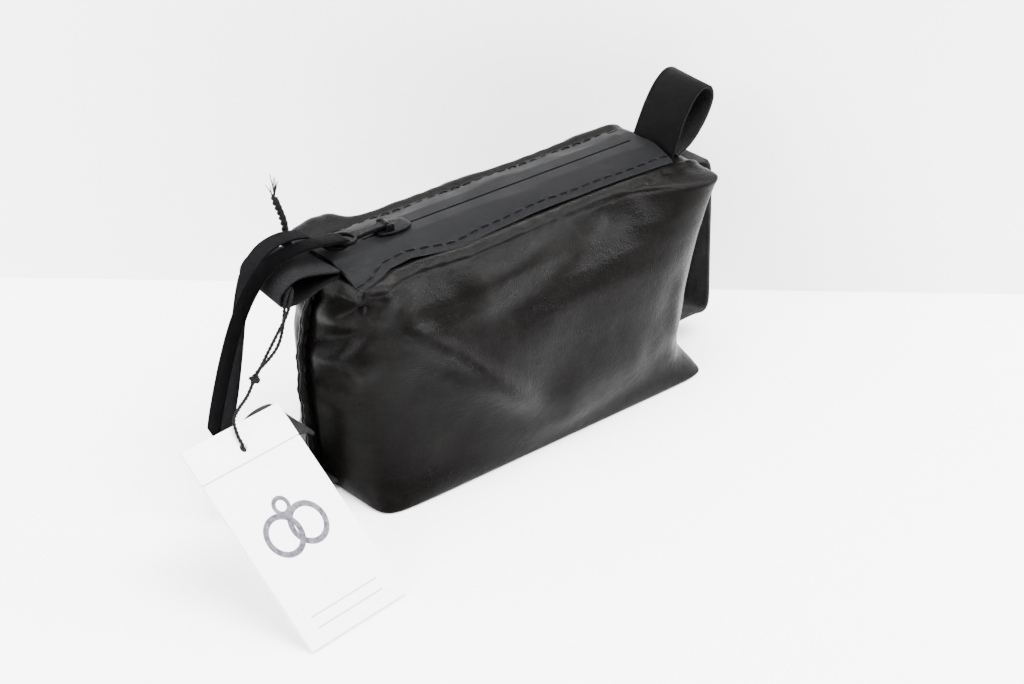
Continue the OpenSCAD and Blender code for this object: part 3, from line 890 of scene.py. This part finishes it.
def shoulder(points):
    """How far the front draws in towards the mouth: round all along, but for the boxed
    corner at the right."""
    x, y, z = points[..., 0], points[..., 1], points[..., 2]
    drawn = np.interp(z, [50, 62, 72, 80, 86, 90, 92.5], [0, 0.6, 2.8, 6.2, 10, 13, 10])
    out = np.clip((LEAN - y - HALF_BAND) / 12, 0, 1)
    return drawn * out * (1 - ease(x, 44, 88)) * ease(y * -1, -6, 14)


def sculpted(side):
    """The shell's outer skin on one side, folds and all."""
    skin = bare_shell(side)
    if side < 0:
        skin[..., 1] += shoulder(skin)
    normal = grid_normals(skin) * (1 if side < 0 else -1)
    push = np.zeros(skin.shape[:-1])
    for line, depth, width, fade, lip in FRONT_FOLDS if side < 0 else BACK_FOLDS:
        push += fold(skin, line, depth, width, fade, lip)
    for line, height, width, fade in FRONT_SWELLS if side < 0 else BACK_SWELLS:
        push += swell(skin, line, height, width, fade)
    push += ripples(skin, 11 + side, 14, 30, 80, 0.7)
    push += ripples(skin, 23 + side, 16, 9, 22, 0.1)
    push += puckers(skin, side)
    z = skin[..., 2]
    out = np.abs(skin[..., 1] - LEAN) - HALF_BAND
    past = np.abs(skin[..., 0]) - BAND_X
    edge = ease(z, 1.5, 14) * np.where(z > 86, np.maximum(ease(out, 0.5, 7), ease(past, 0.5, 5)), 1)
    rib = ease(z, 88, 91) * np.exp(-(((out - 3.2) / 1.9) ** 2)) * 0.9
    ends = np.arange(COLS)[None, :]
    seam = ease(ends, 0, 9) * ease(COLS - 1 - ends, 0, 9)
    beside_seam = 1 - ease(ends, 0, 7) * ease(COLS - 1 - ends, 0, 7)
    dip = -0.6 * beside_seam * ease(z, 6, 12) * (1 - ease(z, 80, 88))
    skin = skin + normal * (push * edge * (0.25 + 0.75 * seam) + dip + rib)[..., None]
    if side < 0:
        skin[..., 1] += seam_shift(skin[..., 0]) * ease(z, 78, 91.5)
    skin[..., 2] = np.maximum(skin[..., 2], 0.02)
    return skin


def blurred(grid, times):
    """A grid of vectors, smoothed across its neighbours."""
    for _ in range(times):
        grid[1:-1] = (grid[:-2] + grid[2:] + 2 * grid[1:-1]) / 4
        grid[:, 1:-1] = (grid[:, :-2] + grid[:, 2:] + 2 * grid[:, 1:-1]) / 4
    return grid


def inward(skin, side):
    """Directions from the outer skin to its flesh side, straight up from the base."""
    way = grid_normals(skin) * (-1 if side < 0 else 1)
    way[skin[..., 2] < 0.3] = (0, 0, 1)
    return unit(blurred(way, 5))


def joined(parts):
    """Points, faces and good-side marks of several parts, as one mesh."""
    points, faces, good = [], [], []
    for part_points, part_faces, part_good in parts:
        start = sum(len(p) for p in points)
        points.append(part_points)
        faces += [tuple(start + i for i in face) for face in part_faces]
        good += list(part_good)
    return np.concatenate(points), faces, good


def end_line(skin, column, low, high, count):
    """A panel's edge at one end, between two heights, as evenly spaced points."""
    line = skin[:, column]
    line = line[(line[:, 2] > low) & (line[:, 2] < high)]
    return even_path(line[line[:, 2].argsort()], count)


FIN_W = 5.4  # the width of a panel's sewn edge


def fin(skin, column, end, side, low, high):
    """The panel's edge, standing out from the end where it is sewn to the other panel."""
    line = end_line(skin, column, low, high, 60)
    line[:, 0] += end * 1.15
    line[:, 1] = LEAN + side * LEATHER / 2
    line[:, 0] += 0.35 * np.sin(line[:, 2] * 0.41) + 0.2 * np.sin(line[:, 2] * 1.3)
    ring = section_ring(FIN_W, LEATHER - 0.02, 0.4)
    points = line[:, None] + np.column_stack([ring, np.zeros(len(ring))])
    points = points.reshape(-1, 3)
    return points, ring_faces(len(line), len(ring)), [1.0] * len(points)


def add_panel(name, node, skin, side):
    inner = skin + inward(skin, side) * LEATHER
    rows, cols = skin.shape[:2]
    body = (
        np.concatenate([skin.reshape(-1, 3), inner.reshape(-1, 3)]),
        shell_faces(rows, cols, side > 0),
        [1.0] * (rows * cols) + [0.0] * (rows * cols),
    )
    fins = [fin(skin, 0, -1, side, 8, 84), fin(skin, -1, 1, side, 18, 76)]
    points, faces, good = joined([body, *fins])
    piece = new_piece(name, points, faces, SHELL, "bag")
    add_attribute(piece, "good_side", good)
    soften_edges(piece, 55)
    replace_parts(piece, node)


LINING_GAP, LINING_T = 1.6, 0.5


def add_lining(name, node, skin, side):
    """The cloth lies against the flesh side, a little slack of its own."""
    rough = blurred(skin[: ROWS - 4 : 2, ::2].copy(), 6)
    way = inward(rough, side)
    slack = 0.25 * (1 + np.sin(rough @ np.array([0.21, 0.33, 0.27])))
    outer = rough + way * (LEATHER + LINING_GAP + slack)[..., None]
    inner = outer + way * LINING_T
    rows, cols = rough.shape[:2]
    points = np.concatenate([outer.reshape(-1, 3), inner.reshape(-1, 3)])
    piece = new_piece(name, points, shell_faces(rows, cols, side > 0), LINING, "bag")
    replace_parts(piece, node)


front_skin, back_skin = sculpted(-1), sculpted(1)
add_panel("front_panel_leather", "front_panel", front_skin, -1)
add_panel("back_panel_leather", "back_panel", back_skin, 1)
add_lining("front_lining_cloth", "front_lining", front_skin, -1)
add_lining("back_lining_cloth", "back_lining", back_skin, 1)


# ---------------------------------------------------------------- the zip band

TAPE_T = 1.2
GAP = 1.4
COIL_W, COIL_H = 2.4, 1.8
FLAT = 6.5  # half width of the level strip along the zip
COIL_Z = SEAM_Z + CROWN - TAPE_T - COIL_H


def band_z(x, y):
    """Height of the band's top face, crowned across, with slight slack towards its ends."""
    out = np.clip((HALF_BAND - np.abs(y - LEAN)) / (HALF_BAND - FLAT), 0, 1)
    crown = CROWN * (0.55 * out + 0.45 * np.sin(out * math.pi / 2))
    still = ease(np.abs(y - LEAN), 5.5, 9) * (1 - ease(np.abs(y - LEAN), 17, 19.5))
    slack = 0.35 * np.sin(x * 0.083 + 0.6) + 0.25 * np.sin(x * 0.19 + y * 0.12)
    dock = 1 - ease(x, -74, -60)
    return SEAM_Z + crown + slack * still * 0.8 + dock * still * 0.5 * np.sin(y * 0.5)


def band_grid(x0, x1, y0, y1, step=1.2, cols=14):
    """A stretch of the band between two lines along X. y0 and y1 may be functions of x."""
    xs = np.linspace(x0, x1, max(3, int((x1 - x0) / step) + 1))
    low = y0(xs) if callable(y0) else np.full_like(xs, y0)
    high = y1(xs) if callable(y1) else np.full_like(xs, y1)
    share = np.linspace(0, 1, cols)
    x = np.repeat(xs[:, None], cols, axis=1)
    y = low[:, None] + (high - low)[:, None] * share
    return np.stack([x, y, band_z(x, y)], axis=-1)


def mirrored(grid):
    """The same strip at the back of the zip, in the order that keeps it facing up."""
    twin = grid[:, ::-1].copy()
    twin[..., 1] = 2 * LEAN - twin[..., 1]
    return twin


def band_sheet(name, top, body, node):
    """A sheet of tape with its good side on the grid top and its thickness below it."""
    rows, cols = top.shape[:2]
    under = top + grid_normals(top) * TAPE_T
    points = np.concatenate([top.reshape(-1, 3), under.reshape(-1, 3)])
    piece = new_piece(name, points, shell_faces(rows, cols, True), TAPE, body)
    soften_edges(piece)
    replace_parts(piece, node)
    return piece


HINGE_Y = LEAN - HINGE_IN
EDGE_IN = 0.06  # between the fixed strip and the moving tape
INNER_Y = LEAN - 0.45


def front_edge(xs):
    return LEAN - HALF_BAND + seam_shift(xs)


def plain_edge(xs):
    return np.full_like(xs, LEAN - HALF_BAND) + 0.5 * np.sin(xs * 0.09)


front_strip = band_grid(-BAND_X, BAND_X, front_edge, HINGE_Y - EDGE_IN, cols=9)
back_strip = mirrored(band_grid(-BAND_X, BAND_X, plain_edge, HINGE_Y - EDGE_IN, cols=9))
band_sheet("front_band_edge_strip", front_strip, "bag", "front_band_edge")
band_sheet("back_band_edge_strip", back_strip, "bag", "back_band_edge")

LEFT_JOIN, RIGHT_JOIN = -64.0, 78.0
MIDDLE = 11.0

left_dock = band_grid(-BAND_X, LEFT_JOIN, HINGE_Y, 2 * LEAN - HINGE_Y, cols=34)
right_dock = band_grid(RIGHT_JOIN, BAND_X, HINGE_Y, 2 * LEAN - HINGE_Y, cols=34)
band_sheet("left_zip_end_cloth", left_dock, "bag", "left_zip_end")
band_sheet("right_zip_end_cloth", right_dock, "bag", "right_zip_end")


def bent(piece):
    """Bakes a piece's placement into its mesh."""
    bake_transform(piece)


for side_name in ("front", "back"):
    for half, x0, x1 in (("left", LEFT_JOIN, MIDDLE), ("right", MIDDLE, RIGHT_JOIN)):
        grid = band_grid(x0, x1, HINGE_Y, INNER_Y, cols=18)
        grid = grid if side_name == "front" else mirrored(grid)
        tape = band_sheet(f"{side_name}_zip_tape_{half}", grid, None, f"{side_name}_zip_tape")
        bent(tape)


# ---------------------------------------------------------------- rows of stitches and coils


def row_tree(name, build):
    """A modifier that sets one element at even steps along the path it is given, with
    a little looseness, and makes the copies real."""
    tree = bpy.data.node_groups.new(name, "GeometryNodeTree")
    face = tree.interface
    face.new_socket("Geometry", in_out="INPUT", socket_type="NodeSocketGeometry")
    for label, value in (("Pitch", 6.0), ("Length", 4.0), ("Thickness", 0.8), ("Looseness", 0.05)):
        socket = face.new_socket(label, in_out="INPUT", socket_type="NodeSocketFloat")
        socket.default_value = value * MM if label != "Looseness" else value
    face.new_socket("Up", in_out="INPUT", socket_type="NodeSocketVector").default_value = (0, 0, 1)
    face.new_socket("Seed", in_out="INPUT", socket_type="NodeSocketInt").default_value = 1
    face.new_socket("Material", in_out="INPUT", socket_type="NodeSocketMaterial")
    face.new_socket("Geometry", in_out="OUTPUT", socket_type="NodeSocketGeometry")
    g = Graph(tree)
    group = tree.nodes.new("NodeGroupInput")
    given = {s.name: Wire(g, s) for s in group.outputs if s.name}
    line = g.node("GeometryNodeMeshToCurve", given["Geometry"])
    marks = tree.nodes.new("GeometryNodeCurveToPoints")
    marks.mode = "LENGTH"
    g.feed(marks.inputs["Curve"], line)
    g.feed(marks.inputs["Length"], given["Pitch"])
    tangent = Wire(g, marks.outputs["Tangent"])
    along = g.node("FunctionNodeAlignRotationToVector", axis="X", named={"Vector": tangent})
    facing = g.node(
        "FunctionNodeAlignRotationToVector", axis="Z", pivot_axis="X",
        named={"Rotation": along, "Vector": given["Up"]},
    )
    swing = g.node(
        "FunctionNodeRandomValue", data_type="FLOAT_VECTOR",
        named={"Min": (-0.5, -0.5, -1.0), "Max": (0.5, 0.5, 1.0), "Seed": given["Seed"]},
    )
    jitter = g.node("ShaderNodeVectorMath", swing, operation="SCALE", named={"Scale": given["Looseness"]})
    turn = g.node("FunctionNodeEulerToRotation", jitter)
    pose = g.node("FunctionNodeRotateRotation", facing, turn, rotation_space="LOCAL")
    copies = g.node(
        "GeometryNodeInstanceOnPoints",
        named={"Points": Wire(g, marks.outputs["Points"]), "Instance": build(g, given), "Rotation": pose},
    )
    real = g.node("GeometryNodeRealizeInstances", copies)
    done = g.node("GeometryNodeSetMaterial", named={"Geometry": real, "Material": given["Material"]})
    out = tree.nodes.new("NodeGroupOutput")
    g.feed(out.inputs[0], done)
    return tree


def swept(g, curve, radius, sides):
    ring = g.node("GeometryNodeCurvePrimitiveCircle", named={"Resolution": sides, "Radius": radius})
    parts = {"Curve": curve, "Profile Curve": ring, "Fill Caps": True}
    return g.node("GeometryNodeCurveToMesh", named=parts)


def point(g, x=0.0, y=0.0, z=0.0):
    return g.node("ShaderNodeCombineXYZ", x, y, z)


def stitch_shape(g, given):
    """A dash of thread that rises from one hole and dips into the next."""
    half, thick = given["Length"] * 0.5, given["Thickness"]
    arc = g.node(
        "GeometryNodeCurveQuadraticBezier",
        named={
            "Resolution": 9, "Start": point(g, half * -1, 0.0, thick * -0.55),
            "Middle": point(g, 0.0, 0.0, thick * 0.95), "End": point(g, half, 0.0, thick * -0.55),
        },
    )
    return swept(g, arc, thick * 0.5, 8)


def turn_shape(g, given):
    """One turn of the coil: a flattened loop of monofilament across the zip."""
    ring = g.node("GeometryNodeCurvePrimitiveCircle", named={"Resolution": 12, "Radius": 0.5})
    flat = g.node(
        "GeometryNodeTransform",
        named={"Geometry": ring, "Rotation": (0.0, math.pi / 2, 0.22)},
    )
    wide = given["Length"] - given["Thickness"]
    sized = g.node(
        "GeometryNodeTransform",
        named={"Geometry": flat, "Scale": point(g, wide, wide, wide * 0.68)},
    )
    return swept(g, sized, given["Thickness"] * 0.5, 6)


STITCH_TREE = row_tree("stitch_row", stitch_shape)
TURN_TREE = row_tree("coil_turns", turn_shape)


def laid_row(name, tree, line, finish, slot, nodes, body, **values):
    """Runs a row tree along a path and keeps what it makes as a plain mesh."""
    mesh = bpy.data.meshes.new(name)
    mesh.from_pydata((line * MM).tolist(), [(i, i + 1) for i in range(len(line) - 1)], [])
    source = bpy.data.objects.new(name + "_path", mesh)
    bpy.context.scene.collection.objects.link(source)
    modifier = source.modifiers.new("row", "NODES")
    modifier.node_group = tree
    values["Material"] = finish
    for item in tree.interface.items_tree:
        if item.in_out == "INPUT" and item.name in values:
            modifier[item.identifier] = values[item.name]
    graph = bpy.context.evaluated_depsgraph_get()
    made = bpy.data.meshes.new_from_object(source.evaluated_get(graph))
    bpy.data.objects.remove(source)
    piece = bpy.data.objects.new(name, made)
    bpy.context.scene.collection.objects.link(piece)
    dress(piece, finish, body)
    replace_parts(piece, *nodes)
    return piece


STITCH = dict(Pitch=6 * MM, Length=4.2 * MM, Thickness=0.85 * MM, Looseness=0.06)


def band_line(x0, x1, y, step=1.5):
    xs = np.arange(x0, x1, step)
    ys = y(xs) if callable(y) else np.full_like(xs, y)
    return np.stack([xs, ys, band_z(xs, ys) + 0.24], axis=1)


STITCH_IN = 3.3  # from the band's edge to its row of stitches
STITCH_X = (-82, 83)


def front_seam_line(xs):
    return front_edge(xs) + STITCH_IN


def back_seam_line(xs):
    return 2 * LEAN - plain_edge(xs) - STITCH_IN


for side_name, seam, tip, seed in (
    ("front", front_seam_line, -0.34, 3), ("back", back_seam_line, 0.34, 4)
):
    laid_row(
        f"{side_name}_topstitch_row", STITCH_TREE, band_line(*STITCH_X, seam), THREAD, "thread",
        [f"{side_name}_topstitch"], "bag", Up=(0.0, tip, 0.94), Seed=seed, **STITCH,
    )


def end_stitches(name, node, skin, column, end, low, high, seed):
    """Two rows of dashes, one on each face of an end's sewn edge."""
    for side, side_name in ((-1, "front"), (1, "back")):
        line = end_line(skin, column, low, high, 50)
        line[:, 0] += end * 2.0
        line[:, 1] = LEAN + side * (LEATHER + 0.1)
        laid_row(
            f"{name}_{side_name}", STITCH_TREE, line, THREAD, "thread", [node], "bag",
            Up=(0.0, float(side), 0.0), Seed=seed + side, **STITCH,
        )


end_stitches("left_end_stitch_row", "left_end_stitch", front_skin, 0, -1, 10, 83, 7)
end_stitches("right_end_stitch_row", "right_end_stitch", front_skin, -1, 1, 19, 75, 10)

COIL_PITCH = 1.15
COIL_X = (-61.0, 78.0)
TURN = dict(Pitch=COIL_PITCH * MM, Length=COIL_W * MM, Thickness=0.62 * MM, Looseness=0.02)
TURN["Up"] = (0.0, 0.0, 1.0)


def coil_line(x0, x1, side):
    xs = np.linspace(x0, x1, 40)
    y = LEAN + side * (GAP / 2 + COIL_W / 2 - 0.25)
    return np.stack([xs, np.full_like(xs, y), np.full_like(xs, COIL_Z + COIL_H / 2)], axis=1)


for side_name, side in (("front", -1), ("back", 1)):
    for half, x0, x1 in (("left", COIL_X[0], MIDDLE), ("right", MIDDLE + COIL_PITCH, COIL_X[1])):
        coil = laid_row(
            f"{side_name}_zip_coil_{half}", TURN_TREE, coil_line(x0, x1, side), COIL, "coil_nylon",
            [f"{side_name}_zip_coil", f"{half}_coil_end"], None, Seed=2, **TURN,
        )
        bent(coil)


# ---------------------------------------------------------------- slider, puller and stops


def offset_outline(outline_xy, by):
    """A closed outline, counterclockwise, moved inwards by a distance."""
    ahead = np.roll(outline_xy, -1, axis=0) - np.roll(outline_xy, 1, axis=0)
    normal = unit(np.stack([ahead[:, 1], -ahead[:, 0]], axis=1))
    return outline_xy - normal * by


def slab(outline_xy, z_low, z_high, edge, crown=0.0):
    """A plate with rounded edges, and its top bulging by crown towards the middle."""
    rings = []
    for base, way, angles in ((z_low, 1, (0, 30, 60, 90)), (z_high, -1, (90, 60, 30, 0))):
        for angle in angles:
            a = math.radians(angle)
            flat = offset_outline(outline_xy, edge * (1 - math.sin(a)))
            height = base + way * edge * (1 - math.cos(a))
            rings.append(np.column_stack([flat, np.full(len(flat), height)]))
    middle = outline_xy.mean(axis=0)
    last = rings[-1]
    for share in (0.75, 0.5, 0.25):
        inner = last.copy()
        inner[:, :2] = middle + (last[:, :2] - middle) * share
        inner[:, 2] += crown * (1 - share**2)
        rings.append(inner)
    points = np.concatenate(rings)
    return points, ring_faces(len(rings), len(outline_xy)), [1.0] * len(points)


def round_outline(points_xy, radius, steps=5):
    """A convex outline, counterclockwise, with its corners rounded."""
    made = []
    n = len(points_xy)
    for i in range(n):
        before, here, after = (np.array(points_xy[(i + k) % n], float) for k in (-1, 0, 1))
        a = here + unit(before - here) * radius
        b = here + unit(after - here) * radius
        for t in np.linspace(0, 1, steps):
            made.append((1 - t) ** 2 * a + 2 * t * (1 - t) * here + t**2 * b)
    return np.array(made)


def rod(start, end, radius, sides=20):
    """A round pin between two points, with a small bevel at each end."""
    a, b = np.array(start, float), np.array(end, float)
    way = unit(b - a)
    bevel = radius * 0.25
    line = np.array([a, a + way * bevel, b - way * bevel, b])
    radii = np.array([radius - bevel, radius, radius, radius - bevel])
    points, faces = tube_mesh([tube_grid(line, radii, sides)])
    return points, faces, [1.0] * len(points)


def moved(part, by):
    points, faces, good = part
    return points + np.array(by, float), faces, good


def hard_piece(name, parts, body, node, angle=35):
    points, faces, good = joined(parts)
    piece = new_piece(name, points, faces, METAL, body)
    soften_edges(piece, angle)
    if node:
        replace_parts(piece, node)
    return piece


SLIDER = (-50.0, LEAN)
TOP_PLATE, LOW_PLATE, PLATE_T = 97.35, 91.45, 1.1
shape = round_outline(
    [(-8, -3.4), (-3.5, -4.9), (3.5, -5), (8, -3.2), (8, 3.2), (3.5, 5), (-3.5, 4.9), (-8, 3.4)], 1.5
)
lug = round_outline([(-2.0, 0), (2.0, 0), (1.6, 3.2), (-1.6, 3.2)], 0.9)


def lug_part(at_y):
    """A cheek of the slider's bridge, standing on the top plate."""
    points, faces, good = slab(lug, -0.6, 0.6, 0.2)
    upright = np.stack([points[:, 0], -points[:, 2], points[:, 1]], axis=1)
    return moved((upright, faces, good), (PIVOT[0], at_y, TOP_PLATE + PLATE_T - 0.35))


wedge = round_outline([(0.6, -0.3), (5.6, -0.3), (5.6, 0.3), (0.6, 0.3)], 0.12, 3)
slider_parts = [
    moved(slab(shape, 0, PLATE_T, 0.35), (*SLIDER, LOW_PLATE)),
    moved(slab(shape, 0, PLATE_T, 0.4, 0.15), (*SLIDER, TOP_PLATE)),
    moved(slab(wedge, LOW_PLATE + 0.4, TOP_PLATE + 0.6, 0.05), (*SLIDER, 0)),
    lug_part(LEAN - 3.0),
    lug_part(LEAN + 3.0),
    rod((PIVOT[0], LEAN - 3.9, PIVOT[2]), (PIVOT[0], LEAN + 3.9, PIVOT[2]), 0.78),
]
hard_piece("slider_cast", slider_parts, "slider", "slider_body")

EYE_R, EYE_HOLE = 5.0, 3.7


def eye_ring():
    """The oval eye the ribbon goes through, as one rounded bar bent into a ring."""
    turn = np.linspace(0, 2 * math.pi, 56, endpoint=False)
    middle = (EYE_R + EYE_HOLE) / 2
    half = (EYE_R - EYE_HOLE) / 2 + 0.02
    section = section_ring(2 * half, 1.6, 0.5)
    out = np.stack([np.cos(turn), np.sin(turn), np.zeros_like(turn)], axis=1)
    line = np.array(EYE) + out * middle
    up = np.array([0, 0, 1.0])
    points = line[:, None] + out[:, None] * section[None, :, :1] + up * section[None, :, 1:]
    points = points.reshape(-1, 3)
    faces = [face[::-1] for face in ring_faces(len(turn), len(section), closed=True)]
    return points, faces, [1.0] * len(points)


neck = round_outline(
    [(EYE[0] + 4.2, -2.6), (PIVOT[0] - 6, -1.7), (PIVOT[0] - 1.0, -2.1),
     (PIVOT[0] - 1.0, 2.1), (PIVOT[0] - 6, 1.7), (EYE[0] + 4.2, 2.6)], 0.5, 4
)
knuckle = rod((PIVOT[0], LEAN - 2.1, PIVOT[2]), (PIVOT[0], LEAN + 2.1, PIVOT[2]), 1.5, 28)
puller_parts = [eye_ring(), moved(slab(neck, -0.8, 0.8, 0.3), (0, LEAN, EYE[2])), knuckle]
hard_piece("puller_cast", puller_parts, "puller", "puller", 40)


def stop_part(x):
    """A pressed metal clip over the last turns of both coils."""
    wide = COIL_W + GAP / 2
    flat = round_outline([(x, -wide), (x + 2.5, -wide), (x + 2.5, wide), (x, wide)], 0.5)
    return moved(slab(flat, COIL_Z, COIL_Z + COIL_H, 0.45), (0, LEAN, 0))


hard_piece("zip_top_stop_clip", [stop_part(-63.5)], "bag", "zip_top_stop")
hard_piece("zip_bottom_stop_clip", [stop_part(80.0)], "bag", "zip_bottom_stop")


# ---------------------------------------------------------------- tabs and straps


def flat_route(offsets, from_x, from_z, y, per_span=7):
    """A path in the plane of X and Z, from offsets, at a fixed Y or one for each offset."""
    ys = np.broadcast_to(y, (len(offsets),))
    return smooth_path([(a + from_x, yy, b + from_z) for (a, b), yy in zip(offsets, ys)], per_span)


def sideways(path, lift=0.0, sweep=0.0):
    """A strap's width runs along Y, tipped up and swept back by shares of it."""
    along = np.linspace(0, 1, len(path))
    lift, sweep = (
        np.interp(along, np.linspace(0, 1, np.size(share)), np.atleast_1d(share)) for share in (lift, sweep)
    )
    return unit(np.stack([sweep, np.ones(len(path)), lift], axis=1))


LEFT_TAB = [(-0.5, 2.7), (-8, 5.2), (-18, 7.6), (-25, 6), (-28, 2), (-25.5, -1.8), (-17, -2), (-8, 0.2),
            (-0.5, 0.9)]
RIGHT_TAB = [(3, -0.2), (6.2, 8), (9.8, 16), (14.6, 23.2), (20, 26.9), (25, 25.6), (26.1, 20.6),
             (23.2, 14), (18.6, 8), (13, 3.2), (5.8, 0.1)]
LEFT_STRAP = [(-9.4, 30), (-13, 32.5), (-22, 31), (-30, 23), (-31, 12), (-25, 5), (-13, 3.4), (4.2, 4.2)]
RIGHT_STRAP = [(2.8, 84), (10, 86.5), (17.5, 85.5), (20.5, 79), (21.8, 64), (22.8, 46), (24, 28),
               (24.6, 17), (22.5, 12.8), (16, 13.2), (8, 13), (1.8, 12)]

left_tab = flat_route(LEFT_TAB, -BAND_X, SEAM_Z, LEAN)
right_tab = flat_route(RIGHT_TAB, BAND_X, SEAM_Z, LEAN - 4)
left_strap = flat_route(LEFT_STRAP, -89, 0, LEAN)
right_strap = flat_route(RIGHT_STRAP, 89, 0, LEAN - 5)
TAB_W, STRAP_W, STRAP_T = 24, 25, 1.6
tabs_and_straps = (
    ("left_tab_leather", "left_tab_loop", left_tab, sideways(left_tab, (0, 0.1, 0.16, 0.1, 0))),
    ("right_tab_leather", "right_tab_loop", right_tab, sideways(right_tab, 0, (0, 0.05, 0.1, 0.05, 0))),
    ("left_strap_suede", "left_side_strap", left_strap, sideways(left_strap)),
    ("right_strap_suede", "right_side_strap", right_strap, sideways(right_strap)),
)
CUT_FROM = {"tab": (TAB_W, TAB, "tab_leather"), "strap": (STRAP_W, SUEDE, "strap_suede")}
for name, node, path, across in tabs_and_straps:
    width, finish, slot = CUT_FROM[name.split("_")[1]]
    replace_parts(strap_piece(name, path, across, width, STRAP_T, finish, "bag"), node)

# The ribbon hangs by its middle from the eye: over the far rim, down through the
# hole and back underneath, with its two tails laid side by side.
RIBBON_FRONT = [(-138.5, 2, 42), (-137, 2, 50), (-132.5, 2, 67), (-127, 2, 82.5), (-120, 2, 95),
                (-111.5, 2, 103), (-101, 2, 105.8), (-90, 2, 105.4), (-82.5, 3.6, 103.6),
                (-76.5, 5.6, 101.7)]
RIBBON_TURN = [(-73.6, 6, 100.8), (-73.2, 6, 99.6), (-76.0, 6.2, 98.5)]
RIBBON_BACK = [(-80.5, 7.6, 98.9), (-84.5, 9.2, 101.6), (-90, 10, 105.9), (-100, 10, 107.4),
               (-109, 10, 104.8), (-115.5, 10, 97), (-119, 10, 84), (-121.5, 10, 66), (-125, 10, 46),
               (-131, 10, 23), (-135.5, 10, 9)]
ribbon_path = smooth_path(RIBBON_FRONT + RIBBON_TURN + RIBBON_BACK, 6)
RIBBON_W, RIBBON_T, SLANT = 7.5, 1.15, 5
ribbon = strap_piece(
    "puller_ribbon_leather", ribbon_path, sideways(ribbon_path), RIBBON_W, RIBBON_T, RIBBON, "ribbon",
    cuts=(SLANT, -SLANT),
)
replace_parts(ribbon, "puller_ribbon")
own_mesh(ribbon)


# ---------------------------------------------------------------- hitch, tail and tag

HITCH = (-93, 15.5, 101.4)
hitch = knot_piece("cord_hitch_tied", "cord_hitch", knot_path(HITCH, 1.2, (3, 2), 0.9), "bag")

tail_route = smooth_path(
    np.array(HITCH) + [(0, 0, 1.6), (-0.5, 0, 7.6), (-2, 0, 12.6), (-4, 0, 17.6), (-4.6, 0.3, 20)], 8
)
tail_tubes = twisted_strands(tail_route, 2 * CORD_D, 5.0)
dice = np.random.RandomState(5)
fray = []
for k in range(7):
    start = tail_route[-1] + dice.normal(size=3) * 0.35
    way = np.array([-0.15, 0.0, 1.0]) + dice.normal(size=3) * 0.28
    bend = dice.normal(size=3) * 1.1
    steps = np.linspace(0, 1, 9)[:, None]
    strand = start + way * 6.6 * steps + bend * steps**2
    fray.append(tube_grid(strand, np.linspace(0.34, 0.12, 9), 6))
tail = cord_piece("cord_tail_frayed", tail_tubes + fray, "bag")
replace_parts(tail, "cord_tail")

for leaf, finish in (("tag_back_leaf", CARD), ("tag_top_strip", CARD), ("tag_front_leaf", PRINT)):
    bpy.data.objects[leaf].material_slots[0].material = finish

path_length(route) * MM
